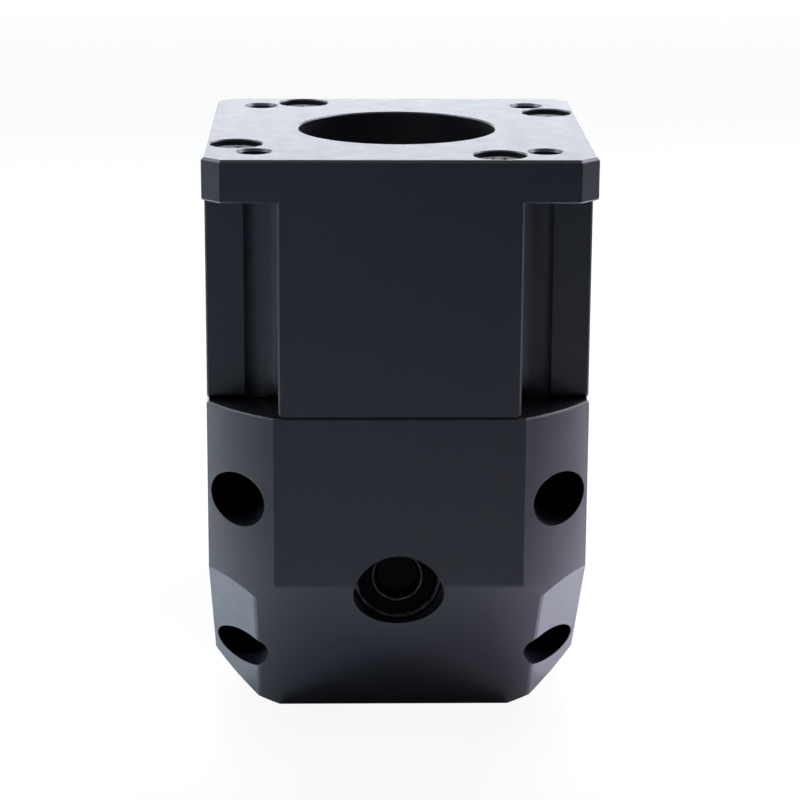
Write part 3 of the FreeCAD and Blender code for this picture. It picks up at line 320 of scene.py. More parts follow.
class GearboxStage(bpy.types.PropertyGroup):
    """Camera, floor, lamps and surroundings."""
    camera_place: FloatVectorProperty(name="Camera place", description="Where the camera stands", size=3,
                                      default=(-0.007018, -0.300945, 0.050039), precision=6,
                                      subtype="TRANSLATION", unit="LENGTH")
    camera_turn: angle("Camera turn", "Turn of the camera about the vertical", -1.4377)
    camera_dip: angle("Camera dip", "Slope of the view below the horizon", 15.1709)
    camera_roll: angle("Camera roll", "Turn of the camera about its own view", 0.3011)
    camera_lens: FloatProperty(name="Lens", description="Focal length on a 36 mm frame", default=122.18,
                               unit="CAMERA")
    floor_colour: colour("Floor", "Colour of the floor", (0.84, 0.84, 0.85))
    floor_white: factor("Floor white", "Share of white in the floor that the camera sees", 0.92)
    floor_gloss: factor("Floor gloss", "Share of white in the floor that glossy surfaces show", 0.015)
    back_level: level("Back lamp", "Brightness of the lamp behind the gearbox", 3.45)
    left_level: level("Left lamp", "Brightness of the lamp on the left", 3.95)
    right_level: level("Right lamp", "Brightness of the lamp on the right", 5.3)
    front_level: level("Front lamp", "Brightness of the lamp in front of the gearbox", 3.6)
    left_pool_level: level("Left pool", "Brightness of the narrow lamp over the floor on the left", 2.05)
    right_pool_level: level("Right pool", "Brightness of the narrow lamp over the floor on the right", 4.8)
    left_low_level: level("Left low lamp", "Brightness of the low narrow lamp on the left", 0.55)
    right_low_level: level("Right low lamp", "Brightness of the low narrow lamp on the right", 0.50)
    back_tint: colour("Back tint", "Colour of the back lamp", (0.85, 0.90, 1.0))
    left_tint: colour("Left tint", "Colour of the left lamps", (0.76, 0.87, 1.0))
    right_tint: colour("Right tint", "Colour of the right lamps", (0.85, 0.83, 1.0))
    front_tint: colour("Front tint", "Colour of the front lamp", (0.60, 0.74, 1.0))
    side_beam: angle("Side beam", "Full angle of the left and right lamps' beams", 83.0)
    front_beam: angle("Front beam", "Full angle of the front lamp's beam", 60.0)
    pool_beam: angle("Pool beam", "Full angle of the beams of the lamps over the floor", 8.0)
    low_beam: angle("Low beam", "Full angle of the low lamps' beams", 13.5)
    room_tint: colour("Room tint", "Colour of the room", (0.74, 0.82, 1.0))
    room_level: level("Room", "Brightness of the room in front of the gearbox", 0.042)
    left_white: factor("Left white", "Share of white that glossy surfaces show on the left", 0.3)
    over_white: factor("White overhead", "Share of white that glossy surfaces show overhead", 0.4)


class Wire:
    """The value of a socket. Arithmetic on it adds Math nodes to the same tree."""

    def __init__(self, finish, socket):
        self.finish = finish
        self.socket = socket

    def math(self, operation, first, second):
        """Result of a Math node on two values."""
        return self.finish.node("ShaderNodeMath", {"operation": operation}, {0: first, 1: second})

    def __add__(self, other):
        return self.math("ADD", self, other)

    __radd__ = __add__

    def __sub__(self, other):
        return self.math("SUBTRACT", self, other)

    def __rsub__(self, other):
        return self.math("SUBTRACT", other, self)

    def __mul__(self, other):
        return self.math("MULTIPLY", self, other)

    __rmul__ = __mul__


class Finish:
    """A node tree under construction."""

    def __init__(self, tree):
        self.tree = tree
        self.tree.nodes.clear()

    def node(self, kind, settings, inputs, output=0):
        """Add a node, apply its settings, then set or link its inputs, and give the named output."""
        made = self.tree.nodes.new(kind)
        for key, value in settings.items():
            setattr(made, key, value)
        for key, value in inputs.items():
            if isinstance(value, Wire):
                self.tree.links.new(value.socket, made.inputs[key])
            else:
                made.inputs[key].default_value = value
        return Wire(self, made.outputs[output])

    def where(self):
        """Object coordinates, in metres."""
        return self.node("ShaderNodeTexCoord", {}, {}, "Object")

    def about(self, where, axis):
        """Distance of a place from an axis, and the way along the axis."""
        apart = self.node("ShaderNodeVectorMath", {"operation": "SUBTRACT"}, {0: where, 1: axis.centre})
        across = self.node("ShaderNodeVectorMath", {"operation": "MULTIPLY"},
                           {0: apart, 1: ACROSS[axis.along]})
        radius = self.node("ShaderNodeVectorMath", {"operation": "LENGTH"}, {0: across}, "Value")
        return radius, self.node("ShaderNodeSeparateXYZ", {}, {"Vector": apart}, axis.along)

    def noise(self, where, size, detail=2.0):
        """Smooth noise from 0 to 1 with features of the given size."""
        return self.node("ShaderNodeTexNoise", {"noise_dimensions": "3D"},
                         {"Vector": where, "Scale": 1 / size, "Detail": detail})

    def vary(self, mean, *waves):
        """A mean moved by waves from 0 to 1, each with the span over which it moves the value."""
        value = mean - sum(span for _, span in waves) / 2
        for wave, span in waves:
            value = wave * span + value
        return value

    def blend(self, share, low, high):
        """Colour between two colours."""
        return self.node("ShaderNodeMix", {"data_type": "RGBA"},
                         {0: share, MIX_LOW: (*low, 1.0), MIX_HIGH: (*high, 1.0)}, MIX_RESULT)

    def steps(self, value, low, high):
        """Value mapped so that low gives 0 and high gives 1, held outside them."""
        return self.node("ShaderNodeMapRange", {"interpolation_type": "SMOOTHSTEP"},
                         {"Value": value, "From Min": low, "From Max": high})

    def most(self, first, second):
        """The greater of two values."""
        return self.node("ShaderNodeMath", {"operation": "MAXIMUM"}, {0: first, 1: second})

    def ray_share(self, camera, mirrored):
        """One share for what the camera sees, and another for what glossy and clear surfaces show."""
        path = {name: self.node("ShaderNodeLightPath", {}, {}, name)
                for name in ("Is Camera Ray", "Is Glossy Ray", "Is Transmission Ray")}
        shown = path["Is Glossy Ray"] + path["Is Transmission Ray"]
        return path["Is Camera Ray"] * camera + shown * mirrored

    def bump(self, height, distance, normal=None):
        """Normal of a surface raised by height times distance."""
        inputs = {"Strength": 1.0, "Distance": distance, "Height": height}
        if normal is not None:
            inputs["Normal"] = normal
        return self.node("ShaderNodeBump", {}, inputs, "Normal")

    def surface(self, **inputs):
        """Principled surface joined to the output. Names use _ for a space."""
        named = {key.replace("_", " "): value for key, value in inputs.items()}
        self.end(self.node("ShaderNodeBsdfPrincipled", {}, named))

    def end(self, shader, kind="ShaderNodeOutputMaterial"):
        """Join a shader to the output of the tree."""
        output = self.tree.nodes.new(kind)
        self.tree.links.new(shader.socket, output.inputs["Surface"])


def new_material(name):
    """An empty node material and the tree to fill."""
    material = bpy.data.materials.new(name)
    material.use_nodes = True
    return material, Finish(material.node_tree)


def new_object(name, data):
    """An object of the scene that shows a mesh, a camera or a lamp."""
    made = bpy.data.objects.new(name, data)
    bpy.context.scene.collection.objects.link(made)
    return made


def dress(material, *nodes):
    """Put a material on the given CAD nodes."""
    for name in nodes:
        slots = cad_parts[name].data.materials
        slots.clear()
        slots.append(material)


def dimmed(tone, share):
    """A colour times a share."""
    return tuple(part * share for part in tone)


def blasted_casing(look):
    """Black anodised skin over a blasted surface: fine grain, faint patches and softened edges."""
    material, finish = new_material("anodised_casing")
    where = finish.where()
    patch = finish.noise(where, look.patch, detail=5.0)
    grain = finish.noise(where, look.grain)
    speck = finish.noise(where, look.speck, detail=3.0)
    rounded = finish.node("ShaderNodeBevel", {"samples": BEVEL_SAMPLES}, {"Radius": look.edge_round})
    finish.surface(Base_Color=finish.blend(patch * 0.6 + speck * 0.4, look.dye, look.bloom),
                   Roughness=finish.vary(look.roughness, (patch, 0.10), (speck, 0.08)),
                   IOR=look.skin_index, Normal=finish.bump(grain, look.grain_height, rounded))
    return material


def turned_metal(name, tone, axis, look, roughness, wear):
    """Metal turned about an axis: marks that depend only on the radius and on the place along the axis."""
    material, finish = new_material(name)
    where = finish.where()
    radius, depth = finish.about(where, axis)
    lane = finish.node("ShaderNodeCombineXYZ", {}, {"X": radius, "Y": depth})
    marks = finish.noise(lane, look.tool_pitch, detail=3.0)
    stain = finish.noise(where, look.stain, detail=4.0)
    bright = finish.steps(stain * 0.7 + marks * 0.3, low=0.3, high=0.68)
    finish.surface(Base_Color=finish.blend(bright, dimmed(tone, wear), tone), Metallic=1.0,
                   Roughness=finish.vary(roughness, (stain, 0.16), (marks, 0.10)),
                   Normal=finish.bump(marks, look.tool_depth))
    return material


def glint_lined_race(name, look, roughness):
    """Painted highlight: bright circles painted about the output axis on the dark steel, a cosine of the
    radius, standing in for glints on the ring's face.
    """
    material, finish = new_material(name)
    where = finish.where()
    radius, _ = finish.about(where, OUTPUT_AXIS)
    phase = (radius - look.line_radius) * (TURN / look.line_pitch)
    wave = finish.node("ShaderNodeMath", {"operation": "COSINE"}, {0: phase})
    stain = finish.noise(where, look.line_break, detail=4.0)
    # Painted highlight: share of the bright circles, broken by noise.
    bright = finish.steps(wave, low=0.5, high=0.9) * finish.steps(stain, low=0.3, high=0.6)
    finish.surface(Base_Color=finish.blend(bright, look.bore_shade_steel, look.ring_grey_and_glint), Metallic=1.0,
                   Roughness=finish.vary(roughness, (stain, 0.2)),
                   Normal=finish.bump(stain, look.tool_depth))
    return material


def mottled_metal(name, tone, look, size, roughness, wear):
    """Metal with the uneven grey of an oiled or pressed surface."""
    material, finish = new_material(name)
    where = finish.where()
    stain = finish.noise(where, size, detail=5.0)
    pit = finish.noise(where, size / PITS_PER_PATCH)
    bright = finish.steps(stain * 0.65 + pit * 0.35, low=0.34, high=0.66)
    finish.surface(Base_Color=finish.blend(bright, dimmed(tone, wear), tone), Metallic=1.0,
                   Roughness=finish.vary(roughness, (stain, 0.2), (pit, 0.12)),
                   Normal=finish.bump(pit, look.pit_depth))
    return material


def hobbed_metal(name, tone, look, roughness, wear):
    """Gear steel with fine feed marks across the axis and a thin dark film of oil."""
    material, finish = new_material(name)
    where = finish.where()
    stretched = finish.node("ShaderNodeMapping", {"vector_type": "POINT"},
                            {"Vector": where, "Scale": FEED_STRETCH})
    feed = finish.noise(stretched, look.feed_pitch)
    film = finish.noise(where, look.film, detail=4.0)
    bright = finish.steps(film, low=0.35, high=0.7)
    finish.surface(Base_Color=finish.blend(bright, dimmed(tone, wear), tone), Metallic=1.0,
                   Roughness=finish.vary(roughness, (film, 0.2)),
                   Normal=finish.bump(feed, look.tool_depth))
    return material


def soft_rubber(look, roughness):
    """Moulded rubber with a faint dusty bloom."""
    material, finish = new_material("seal_rubber")
    where = finish.where()
    dust = finish.noise(where, look.dust, detail=4.0)
    pore = finish.noise(where, look.pore)
    dusty = finish.steps(dust, low=0.4, high=0.75)
    finish.surface(Base_Color=finish.blend(dusty, look.rubber, look.rubber_bloom),
                   Roughness=finish.vary(roughness, (dust, 0.2)),
                   Normal=finish.bump(pore, look.pore_depth))
    return material


def angles(count):
    """Angles of a full turn, without the last."""
    return np.arange(count) * (TURN / count)


def triangle(phase):
    """Triangle wave of a phase in turns: 0 at whole turns and 1 half-way between them."""
    return 1 - 2 * np.abs(phase % 1 - 0.5)


def grid_faces(rows, columns, looped):
    """Quads between the rows of a grid whose rows close. If looped, the last row also joins the first."""
    row, column = np.meshgrid(np.arange(rows if looped else rows - 1), np.arange(columns), indexing="ij")
    above = (row + 1) % rows
    ahead = (column + 1) % columns
    quads = np.stack([row * columns + column, row * columns + ahead,
                      above * columns + ahead, above * columns + column], axis=-1)
    return quads.reshape(-1, 4).tolist()


def round_points(radius, height):
    """Points at radius(row, column) and height(row, column) about the local Z axis."""
    turn = angles(radius.shape[1])
    height = np.broadcast_to(height, radius.shape)
    return np.stack([radius * np.cos(turn), radius * np.sin(turn), height], axis=-1)


def spindle(radius, height):
    """Closed surface about the local Z axis. Its rows rise from a lower pole and end at an upper one.

    radius is rows by columns and height is one value for each row. The poles stand on the axis at the
    heights of the first and last row, whose own radii are not used.
    """
    rings = round_points(radius[1:-1], height[1:-1, None])
    rows, columns = rings.shape[:2]
    last = rows * columns
    column = np.arange(columns)
    ahead = (column + 1) % columns
    lower = np.stack([np.full(columns, last), ahead, column], axis=-1)
    upper = np.stack([np.full(columns, last + 1), column + last - columns, ahead + last - columns], axis=-1)
    poles = np.array([[0, 0, height[0]], [0, 0, height[-1]]])
    points = np.concatenate([rings.reshape(-1, 3), poles])
    return points, grid_faces(rows, columns, False) + lower.tolist() + upper.tolist()


def hoop(radius, height):
    """Closed surface about the local Z axis from a looped profile, counter-clockwise with r to the right."""
    points = round_points(radius, height)
    return points.reshape(-1, 3), grid_faces(*radius.shape, True)


def placed(surface, turn, at):
    """A surface turned by a matrix and moved."""
    points, faces = surface
    return points @ turn.T + np.asarray(at), faces


def twisted(surface, degrees):
    """A surface turned about its local Z axis."""
    turn = np.array(Matrix.Rotation(math.radians(degrees), 3, "Z"))
    return placed(surface, turn, (0, 0, 0))


def add_piece(name, surfaces, body, material, replaced=()):
    """Join surfaces to one smooth piece that rides on a body and stands for the replaced nodes."""
    points = []
    faces = []
    start = 0
    for part_points, part_faces in surfaces:
        points.append(part_points)
        faces.extend([[start + index for index in face] for face in part_faces])
        start += len(part_points)
    mesh = bpy.data.meshes.new(name)
    mesh.from_pydata(np.concatenate(points).tolist(), [], faces)
    mesh.shade_smooth()
    mesh.set_sharp_from_angle(angle=SHARP)
    mesh.materials.append(material)
    piece = new_object(name, mesh)
    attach(piece, body)
    if replaced:
        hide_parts(*replaced)


def cap_screw(screw, reach, thread, sizes):
    """Socket cap screw, its head's top at the local origin and its shank along local -Z.

    One surface from the pole of the tip to the pole of the socket. At angle a and height h its radius is
    the shank's, less the thread's depth times the triangle wave of h / pitch - a / turn; on the head's side
    the head's, less the knurl's depth times the triangle wave of teeth * a / turn; and in the socket the
    hexagon's, which is half its width over the cosine of a from the middle of the nearest flat.
    """
    pitch = screw.pitch
    turn = angles(COLUMNS)
    full = np.ones(COLUMNS)
    tip = -screw.head_height - reach
    depth = THREAD_DEPTH * pitch
    worm = np.linspace(tip + pitch, tip + pitch + thread, int(thread / pitch) * ROWS_PER_TURN + 1)[:, None]
    ease = np.clip(np.minimum(worm - worm[0], worm[-1] - worm) / pitch, 0, 1)
    ridge = triangle(worm / pitch - turn / TURN)
    threaded = screw.shank / 2 - depth * ease * (1 - ridge)
    knurl = sizes.knurl_depth * triangle(turn / TURN * sizes.knurl_teeth)
    flats = screw.socket / 2 / np.cos(turn % HEX - HEX / 2)
    mouth = SOCKET_MOUTH * screw.socket / math.sqrt(3)
    well = -SOCKET_DEPTH * screw.head_height
    lower = [(tip, 0 * full), (tip, (screw.shank / 2 - depth) * full),
             (tip + TIP_CHAMFER * pitch, screw.shank / 2 * full)]
    upper = [(-screw.head_height, screw.shank / 2 * full)]
    upper += [(-down * screw.head_height, share * screw.head / 2 - cut * knurl)
              for down, share, cut in HEAD_PROFILE]
    upper += [(0.0, mouth * full), (-SOCKET_CHAMFER * screw.head_height, flats), (well, flats),
              (well, DRILL_RADIUS * screw.socket * full), (well - DRILL_POINT * screw.socket, 0 * full)]
    height = np.concatenate([[h for h, _ in lower], worm[:, 0], [h for h, _ in upper]])
    radius = np.concatenate([[r for _, r in lower], threaded, [r for _, r in upper]])
    return spindle(radius, height)


def short_screw(screw, whole, sizes):
    """Socket cap screw of a whole length, threaded up to a few pitches from its head."""
    reach = whole - screw.head_height
    return cap_screw(screw, reach, reach - THREAD_RUNOUT * screw.pitch, sizes)


def seal_ring(inner, outer, width):
    """Lip seal about the local Z axis, one looped profile: case, hollow, dust lip and sealing lip.

    A corner's radius is the lip's plus its share of the wall, and its height is its share of the width.
    """
    radius = inner + SEAL_PROFILE[:, :1] * (outer - inner) + np.zeros(COLUMNS)
    return hoop(radius, SEAL_PROFILE[:, 1:] * width)


def tapped_hole(hole, depth, pitch):
    """Wall of a tapped hole that opens at the local origin and runs along local -Z, as a closed sleeve.

    The outside is a plain cylinder just under the casing's skin. The inside, at angle a and height h, has
    the hole's radius less the thread's height times the triangle wave of h / pitch - a / turn, which fades
    out at both ends.
    """
    turn = angles(COLUMNS // 2)
    down = np.linspace(0, -depth, int(depth / pitch) * TAP_ROWS)[:, None]
    ease = np.clip(np.minimum(-down, depth + down) / pitch, 0, 1)
    inside = TAP_BORE * hole / 2 - TAP_HEIGHT * pitch * ease * triangle(down / pitch - turn / TURN)
    skin = np.full((2, turn.size), TAP_SKIN * hole / 2)
    height = np.concatenate([[[-depth], [0.0]], down])
    return hoop(np.concatenate([skin, inside]), height)


def half_cage(ball, orbit, count, sizes, side):
    """One pressed half of a ball cage about the local Z axis, a flat strip carried along a waved circle.

    At angle a the strip's middle lies on the orbit, raised by the rib's height and by the rest of the
    pocket's height times exp(-(s / w) ** 4), where s is the way along the orbit to the nearest ball and w
    is the pocket's width. The strip's section is a rectangle with broken corners, square to the wave.
    """
    sheet = sizes.cage_sheet * ball / 2
    rib = RIB_HEIGHT * sheet
    pocket = (1 + sizes.cage_gap) * ball / 2 + sheet / 2
    width = POCKET_WIDTH * ball / 2
    turn = angles(count * CAGE_COLUMNS)
    way = orbit * ((turn + math.pi / count) % (TURN / count) - math.pi / count)
    swell = np.exp(-(way / width) ** POCKET_POWER)
    rise = rib + (pocket - rib) * swell
    slope = (pocket - rib) * swell * -POCKET_POWER * (way / width) ** (POCKET_POWER - 1) / width
    lean = np.arctan(slope)
    across = CAGE_STRIP[::side, :1] * sizes.cage_width * ball / 2
    thick = CAGE_STRIP[::side, 1:] * sheet / 2
    radius = orbit + across + 0 * turn
    shifted = turn - thick * np.sin(lean) / orbit
    height = side * (rise + thick * np.cos(lean))
    points = np.stack([radius * np.cos(shifted), radius * np.sin(shifted), height], axis=-1)
    return points.reshape(-1, 3), grid_faces(*radius.shape, True)


class GEARBOX_OT_casings(bpy.types.Operator):
    """Give the three casings their black anodised finish"""
    bl_idname = "gearbox.casings"
    bl_label = "Casings"

    def execute(self, context):
        dress(blasted_casing(context.scene.gearbox_casing),
              "input_housing", "elbow_housing", "output_housing")
        return {"FINISHED"}


class GEARBOX_OT_shafts(bpy.types.Operator):
    """Finish the shafts, pins, key, hub, bearing plate and spacer"""
    bl_idname = "gearbox.shafts"
    bl_label = "Shafts and hub"

    def execute(self, context):
        look = context.scene.gearbox_metal
        dress(turned_metal("ground_shaft", look.shaft_steel, OUTPUT_AXIS, look, roughness=0.36, wear=0.8),
              "output_shaft", "wheel_key", "first_planet_pins", "second_planet_pins")
        # Painted shade: the wheel shaft is near-black so that its end deep in the rear bore reads as shaded.
        dress(turned_metal("blackened_shaft", look.bore_shade_steel, OUTPUT_AXIS, look, roughness=0.42, wear=0.6),
              "wheel_shaft")
        dress(turned_metal("turned_plate", look.aluminium, OUTPUT_AXIS, look, roughness=0.34, wear=0.75),
              "bearing_plate", "wheel_spacer")
        dress(turned_metal("turned_hub", look.hub_steel, INPUT_AXIS, look, roughness=0.42, wear=0.6),
              "clamp_hub")
        return {"FINISHED"}


class GEARBOX_OT_gears(bpy.types.Operator):
    """Finish the bevel pair, the planets, the ring gear and the first carrier"""
    bl_idname = "gearbox.gears"
    bl_label = "Gears"

    def execute(self, context):
        look = context.scene.gearbox_metal
        planets = ["%s_planet_%d" % (stage, number) for stage in ("first", "second") for number in (1, 2, 3)]
        dress(hobbed_metal("hobbed_gear", look.gear_steel, look, roughness=0.36, wear=0.5),
              "bevel_pinion", "bevel_wheel", "ring_gear", *planets)
        dress(turned_metal("turned_carrier", look.gear_steel, OUTPUT_AXIS, look, roughness=0.36, wear=0.5),
              "first_carrier")
        return {"FINISHED"}


class GEARBOX_OT_bearings(bpy.types.Operator):
    """Finish the rings, balls and shields of the bearings and the retaining rings"""
    bl_idname = "gearbox.bearings"
    bl_label = "Bearings"

    def execute(self, context):
        look = context.scene.gearbox_metal
        steel = look.bearing_steel
        dress(turned_metal("ground_ring_upright", steel, INPUT_AXIS, look, roughness=0.3, wear=0.6),
              "input_bearing_outer_rings", "input_bearing_inner_rings")
        dress(turned_metal("ground_ring_level", steel, OUTPUT_AXIS, look, roughness=0.3, wear=0.35),
              "shaft_bearing_outer_ring", "shaft_bearing_inner_ring",
              "output_bearing_outer_rings", "output_bearing_inner_rings")
        dress(mottled_metal("blackened_ring", look.ring_grey_and_glint, look, look.ring_mottle,
                            roughness=0.34, wear=0.2), "rear_bearing_outer_ring")
        # Painted highlight: the rear inner ring has bright circles painted on its dark steel.
        dress(glint_lined_race("blackened_race", look, roughness=0.4), "rear_bearing_inner_ring")
        dress(mottled_metal("polished_ball", look.ball_steel, look, look.mottle,
                            roughness=0.16, wear=0.85), *[cage.balls for cage in CAGES])
        # Painted shade: the rear shields are near-black, standing in for the shade deep in the rear bore.
        dress(mottled_metal("pressed_shield", look.bore_shade_steel, look, look.shield_mottle,
                            roughness=0.45, wear=0.4), "rear_bearing_shields")
        dress(mottled_metal("spring_ring", look.spring_steel, look, look.mottle,
                            roughness=0.38, wear=0.45), "wheel_retaining_ring", "output_retaining_ring")
        return {"FINISHED"}


class GEARBOX_OT_screws(bpy.types.Operator):
    """Make the cap screws with their knurls, sockets and threads"""
    bl_idname = "gearbox.screws"
    bl_label = "Screws"

    def execute(self, context):
        sizes = context.scene.gearbox_screws
        look = context.scene.gearbox_metal
        steel = mottled_metal("oiled_screw", look.screw_steel, look, look.mottle, roughness=0.55, wear=0.3)
        dress(steel, "access_plug", "pinion_washer")
        casing = Screw(sizes.shank, sizes.head, sizes.head_height, sizes.socket, sizes.pitch)
        self.casing_screws(casing, sizes, steel)
        self.rotor_screws(casing, sizes, steel)
        return {"FINISHED"}

    def casing_screws(self, casing, sizes, steel):
        """Screws of the flange, a quarter turn apart, and of the elbow, mirrored about both planes."""
        low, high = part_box("flange_screws")
        screw = cap_screw(casing, high.z - low.z - casing.head_height, sizes.thread, sizes)
        places = ((sizes.side, sizes.offset), (-sizes.offset, sizes.side),
                  (-sizes.side, -sizes.offset), (sizes.offset, -sizes.side))
        add_piece("flange_cap_screws", [placed(twisted(screw, twist), UP, (x, y, high.z))
                                        for (x, y), twist in zip(places, SCREW_TWISTS)],
                  "casing", steel, ["flange_screws"])
        low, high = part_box("output_screws")
        screw = short_screw(casing, high.y - low.y, sizes)
        places = [(x * sizes.side, AXIS_Z + z * sizes.offset) for x in (-1, 1) for z in (-1, 1)]
        add_piece("output_cap_screws", [placed(twisted(screw, twist), FORWARD, (x, low.y, z))
                                        for (x, z), twist in zip(places, SCREW_TWISTS)],
                  "casing", steel, ["output_screws"])

    def rotor_screws(self, casing, sizes, steel):
        """Screw that clamps the hub on the motor's shaft, and the low-headed screw of the pinion."""
        low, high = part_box("clamp_screw")
        clamp = Screw(sizes.clamp_shank, high.y - low.y, sizes.clamp_head_height, sizes.clamp_socket,
                      sizes.clamp_pitch)
        screw = short_screw(clamp, high.x - low.x, sizes)
        at = (high.x, (low.y + high.y) / 2, (low.z + high.z) / 2)
        add_piece("clamp_cap_screw", [placed(screw, RIGHT, at)], "input_rotor", steel,
                  ["clamp_screw"])
        low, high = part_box("pinion_screw")
        screw = short_screw(casing._replace(head_height=sizes.pinion_head_height), high.z - low.z, sizes)
        add_piece("pinion_cap_screw", [placed(screw, DOWN, (0, 0, low.z))], "input_rotor", steel,
                  ["pinion_screw"])


class GEARBOX_OT_seal(bpy.types.Operator):
    """Make the lip seal of the output"""
    bl_idname = "gearbox.seal"
    bl_label = "Output seal"

    def execute(self, context):
        low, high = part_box("output_seal")
        ring = seal_ring(context.scene.gearbox_trim.seal_lip, (high.x - low.x) / 2, high.y - low.y)
        rubber = soft_rubber(context.scene.gearbox_metal, roughness=0.52)
        add_piece("output_lip_seal", [placed(ring, BACK, (0, low.y, AXIS_Z))], "casing", rubber,
                  ["output_seal"])
        return {"FINISHED"}


class GEARBOX_OT_threads(bpy.types.Operator):
    """Cut the threads of the four output holes"""
    bl_idname = "gearbox.threads"
    bl_label = "Output hole threads"

    def execute(self, context):
        sizes = context.scene.gearbox_trim
        sleeve = tapped_hole(sizes.hole, sizes.hole_depth, sizes.hole_pitch)
        side = sizes.hole_circle / 2 * math.sqrt(0.5)
        face = OUTPUT_FACE_Y - sizes.pilot_height
        add_piece("output_hole_threads", [placed(sleeve, BACK, (x * side, face, AXIS_Z + z * side))
                                          for x in (-1, 1) for z in (-1, 1)],
                  "casing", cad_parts["output_housing"].data.materials[0])
        return {"FINISHED"}


class GEARBOX_OT_cages(bpy.types.Operator):
    """Make the pressed cages that space the balls"""
    bl_idname = "gearbox.cages"
    bl_label = "Ball cages"

    def execute(self, context):
        sizes = context.scene.gearbox_trim
        look = context.scene.gearbox_metal
        steel = mottled_metal("pressed_cage", look.bearing_steel, look, look.mottle, roughness=0.36, wear=0.6)
        for cage in CAGES:
            low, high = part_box(cage.balls)
            upright = cage.direction == "z"
            first = getattr(low, cage.direction) + cage.ball / 2
            last = getattr(high, cage.direction) - cage.ball / 2
            orbit = high.x - cage.ball / 2
            halves = [half_cage(cage.ball, orbit, cage.count, sizes, side) for side in (1, -1)]
            turn = UP if upright else BACK
            middles = np.linspace(first, last, cage.rows)
            places = [(0, 0, middle) if upright else (0, middle, AXIS_Z) for middle in middles]
            add_piece(cage.bearing + "_bearing_cage",
                      [placed(half, turn, at) for at in places for half in halves],
                      cage.balls, steel)
        return {"FINISHED"}


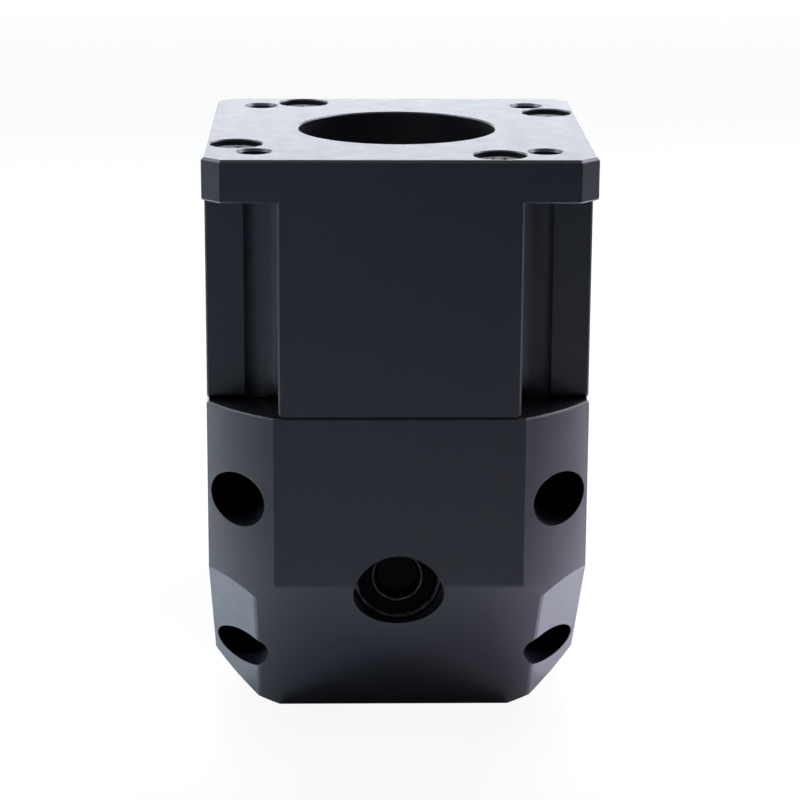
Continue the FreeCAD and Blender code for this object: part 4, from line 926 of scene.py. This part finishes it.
class GEARBOX_OT_stage(bpy.types.Operator):
    """Set the camera, the floor, the lamps and the white surroundings"""
    bl_idname = "gearbox.stage"
    bl_label = "Stage"

    def execute(self, context):
        stage = context.scene.gearbox_stage
        context.scene.view_settings.view_transform = "Standard"
        self.camera(context.scene, stage)
        self.floor(stage)
        self.surroundings(context.scene, stage)
        for name, box, beam in (("back", BACK_BOX, OPEN_BEAM), ("left", LEFT_BOX, stage.side_beam),
                                ("right", RIGHT_BOX, stage.side_beam),
                                ("front", FRONT_BOX, stage.front_beam)):
            self.lamp(name + "_lamp", box, getattr(stage, name + "_level"),
                      getattr(stage, name + "_tint"), beam)
        for kind, box, beam in (("pool", POOL_BOX, stage.pool_beam), ("low", LOW_BOX, stage.low_beam)):
            for word, side in (("left", -1), ("right", 1)):
                place, target = [(side * x, y, z) for x, y, z in (box.place, box.target)]
                name = word + "_" + kind
                self.lamp(name, SoftBox(place, target, box.size), getattr(stage, name + "_level"),
                          getattr(stage, word + "_tint"), beam)
        return {"FINISHED"}

    def camera(self, scene, stage):
        """Camera at the photograph's place."""
        lens = bpy.data.cameras.new("camera")
        lens.lens = stage.camera_lens
        camera = new_object("camera", lens)
        camera.location = stage.camera_place
        turn = (Matrix.Rotation(stage.camera_turn, 3, "Z")
                @ Matrix.Rotation(math.pi / 2 - stage.camera_dip, 3, "X")
                @ Matrix.Rotation(stage.camera_roll, 3, "Z"))
        camera.rotation_euler = turn.to_euler()
        scene.camera = camera

    def floor(self, stage):
        """Round floor, white to the camera apart from the shadow, and plain to everything else."""
        rim = round_points(np.full((1, COLUMNS), FLOOR_RADIUS), FLOOR_Z)[0]
        mesh = bpy.data.meshes.new("floor")
        mesh.from_pydata(rim.tolist(), [], [list(range(COLUMNS))])
        material, finish = new_material("floor_paper")
        paper = finish.node("ShaderNodeBsdfDiffuse", {}, {"Color": (*stage.floor_colour, 1.0)})
        white = finish.node("ShaderNodeEmission", {}, {"Color": WHITE, "Strength": 1.0})
        share = finish.ray_share(stage.floor_white, stage.floor_gloss)
        finish.end(finish.node("ShaderNodeMixShader", {}, {0: share, 1: paper, 2: white}))
        mesh.materials.append(material)
        new_object("floor", mesh)

    def surroundings(self, scene, stage):
        """White behind the gearbox, dimmer room in front of it, and soft light for everything else."""
        world = bpy.data.worlds.new("studio")
        world.use_nodes = True
        scene.world = world
        finish = Finish(world.node_tree)
        heading = finish.node("ShaderNodeTexCoord", {}, {}, "Generated")
        right, ahead, above = [finish.node("ShaderNodeSeparateXYZ", {}, {"Vector": heading}, letter)
                               for letter in "XYZ"]
        behind = finish.steps(ahead, *FADE_BEHIND)
        left = finish.steps(right, *FADE_LEFT) * stage.left_white
        over = finish.steps(above, *FADE_OVER) * stage.over_white
        share = finish.ray_share(1.0, finish.most(finish.most(behind, left), over))
        room = finish.node("ShaderNodeBackground", {}, {"Color": (*stage.room_tint, 1.0),
                                                        "Strength": stage.room_level})
        white = finish.node("ShaderNodeBackground", {}, {"Color": WHITE, "Strength": 1.0})
        finish.end(finish.node("ShaderNodeMixShader", {}, {0: share, 1: room, 2: white}),
                   "ShaderNodeOutputWorld")

    def lamp(self, name, box, brightness, tint, beam):
        """Soft box that faces a target and that the camera does not see."""
        width, height = box.size
        light = bpy.data.lights.new(name, "AREA")
        light.shape = "RECTANGLE"
        light.size = width
        light.size_y = height
        light.energy = brightness * math.pi * width * height
        light.color = tint
        light.spread = beam
        lamp = new_object(name, light)
        lamp.location = box.place
        aim = Vector(box.target) - lamp.location
        lamp.rotation_euler = aim.to_track_quat("-Z", "Y").to_euler()
        lamp.visible_camera = False


LOOKS = (("gearbox_casing", GearboxCasingLook), ("gearbox_metal", GearboxMetalLook),
         ("gearbox_screws", GearboxScrewSizes), ("gearbox_trim", GearboxTrimSizes),
         ("gearbox_stage", GearboxStage))
STEPS = (GEARBOX_OT_casings, GEARBOX_OT_shafts, GEARBOX_OT_gears, GEARBOX_OT_bearings, GEARBOX_OT_screws,
         GEARBOX_OT_seal, GEARBOX_OT_threads, GEARBOX_OT_cages, GEARBOX_OT_stage)


class GEARBOX_PT_panel(bpy.types.Panel):
    """Steps and settings of the gearbox"""
    bl_idname = "GEARBOX_PT_panel"
    bl_label = "Gearbox"
    bl_space_type = "VIEW_3D"
    bl_region_type = "UI"
    bl_category = "Gearbox"

    def draw(self, context):
        for step in STEPS:
            self.layout.operator(step.bl_idname)
        for name, group in LOOKS:
            box = self.layout.box()
            for field in group.__annotations__:
                box.prop(getattr(context.scene, name), field)


def register():
    """Add the settings, the steps and the panel."""
    for name, group in LOOKS:
        bpy.utils.register_class(group)
        setattr(bpy.types.Scene, name, PointerProperty(type=group))
    for step in (*STEPS, GEARBOX_PT_panel):
        bpy.utils.register_class(step)


def unregister():
    """Take the panel, the steps and the settings away again."""
    for step in (GEARBOX_PT_panel, *reversed(STEPS)):
        bpy.utils.unregister_class(step)
    for name, group in reversed(LOOKS):
        delattr(bpy.types.Scene, name)
        bpy.utils.unregister_class(group)


def main():
    """Run every step in order."""
    register()
    bpy.ops.gearbox.casings()
    bpy.ops.gearbox.shafts()
    bpy.ops.gearbox.gears()
    bpy.ops.gearbox.bearings()
    bpy.ops.gearbox.screws()
    bpy.ops.gearbox.seal()
    bpy.ops.gearbox.threads()
    bpy.ops.gearbox.cages()
    bpy.ops.gearbox.stage()


if __name__ == "__main__":
    main()
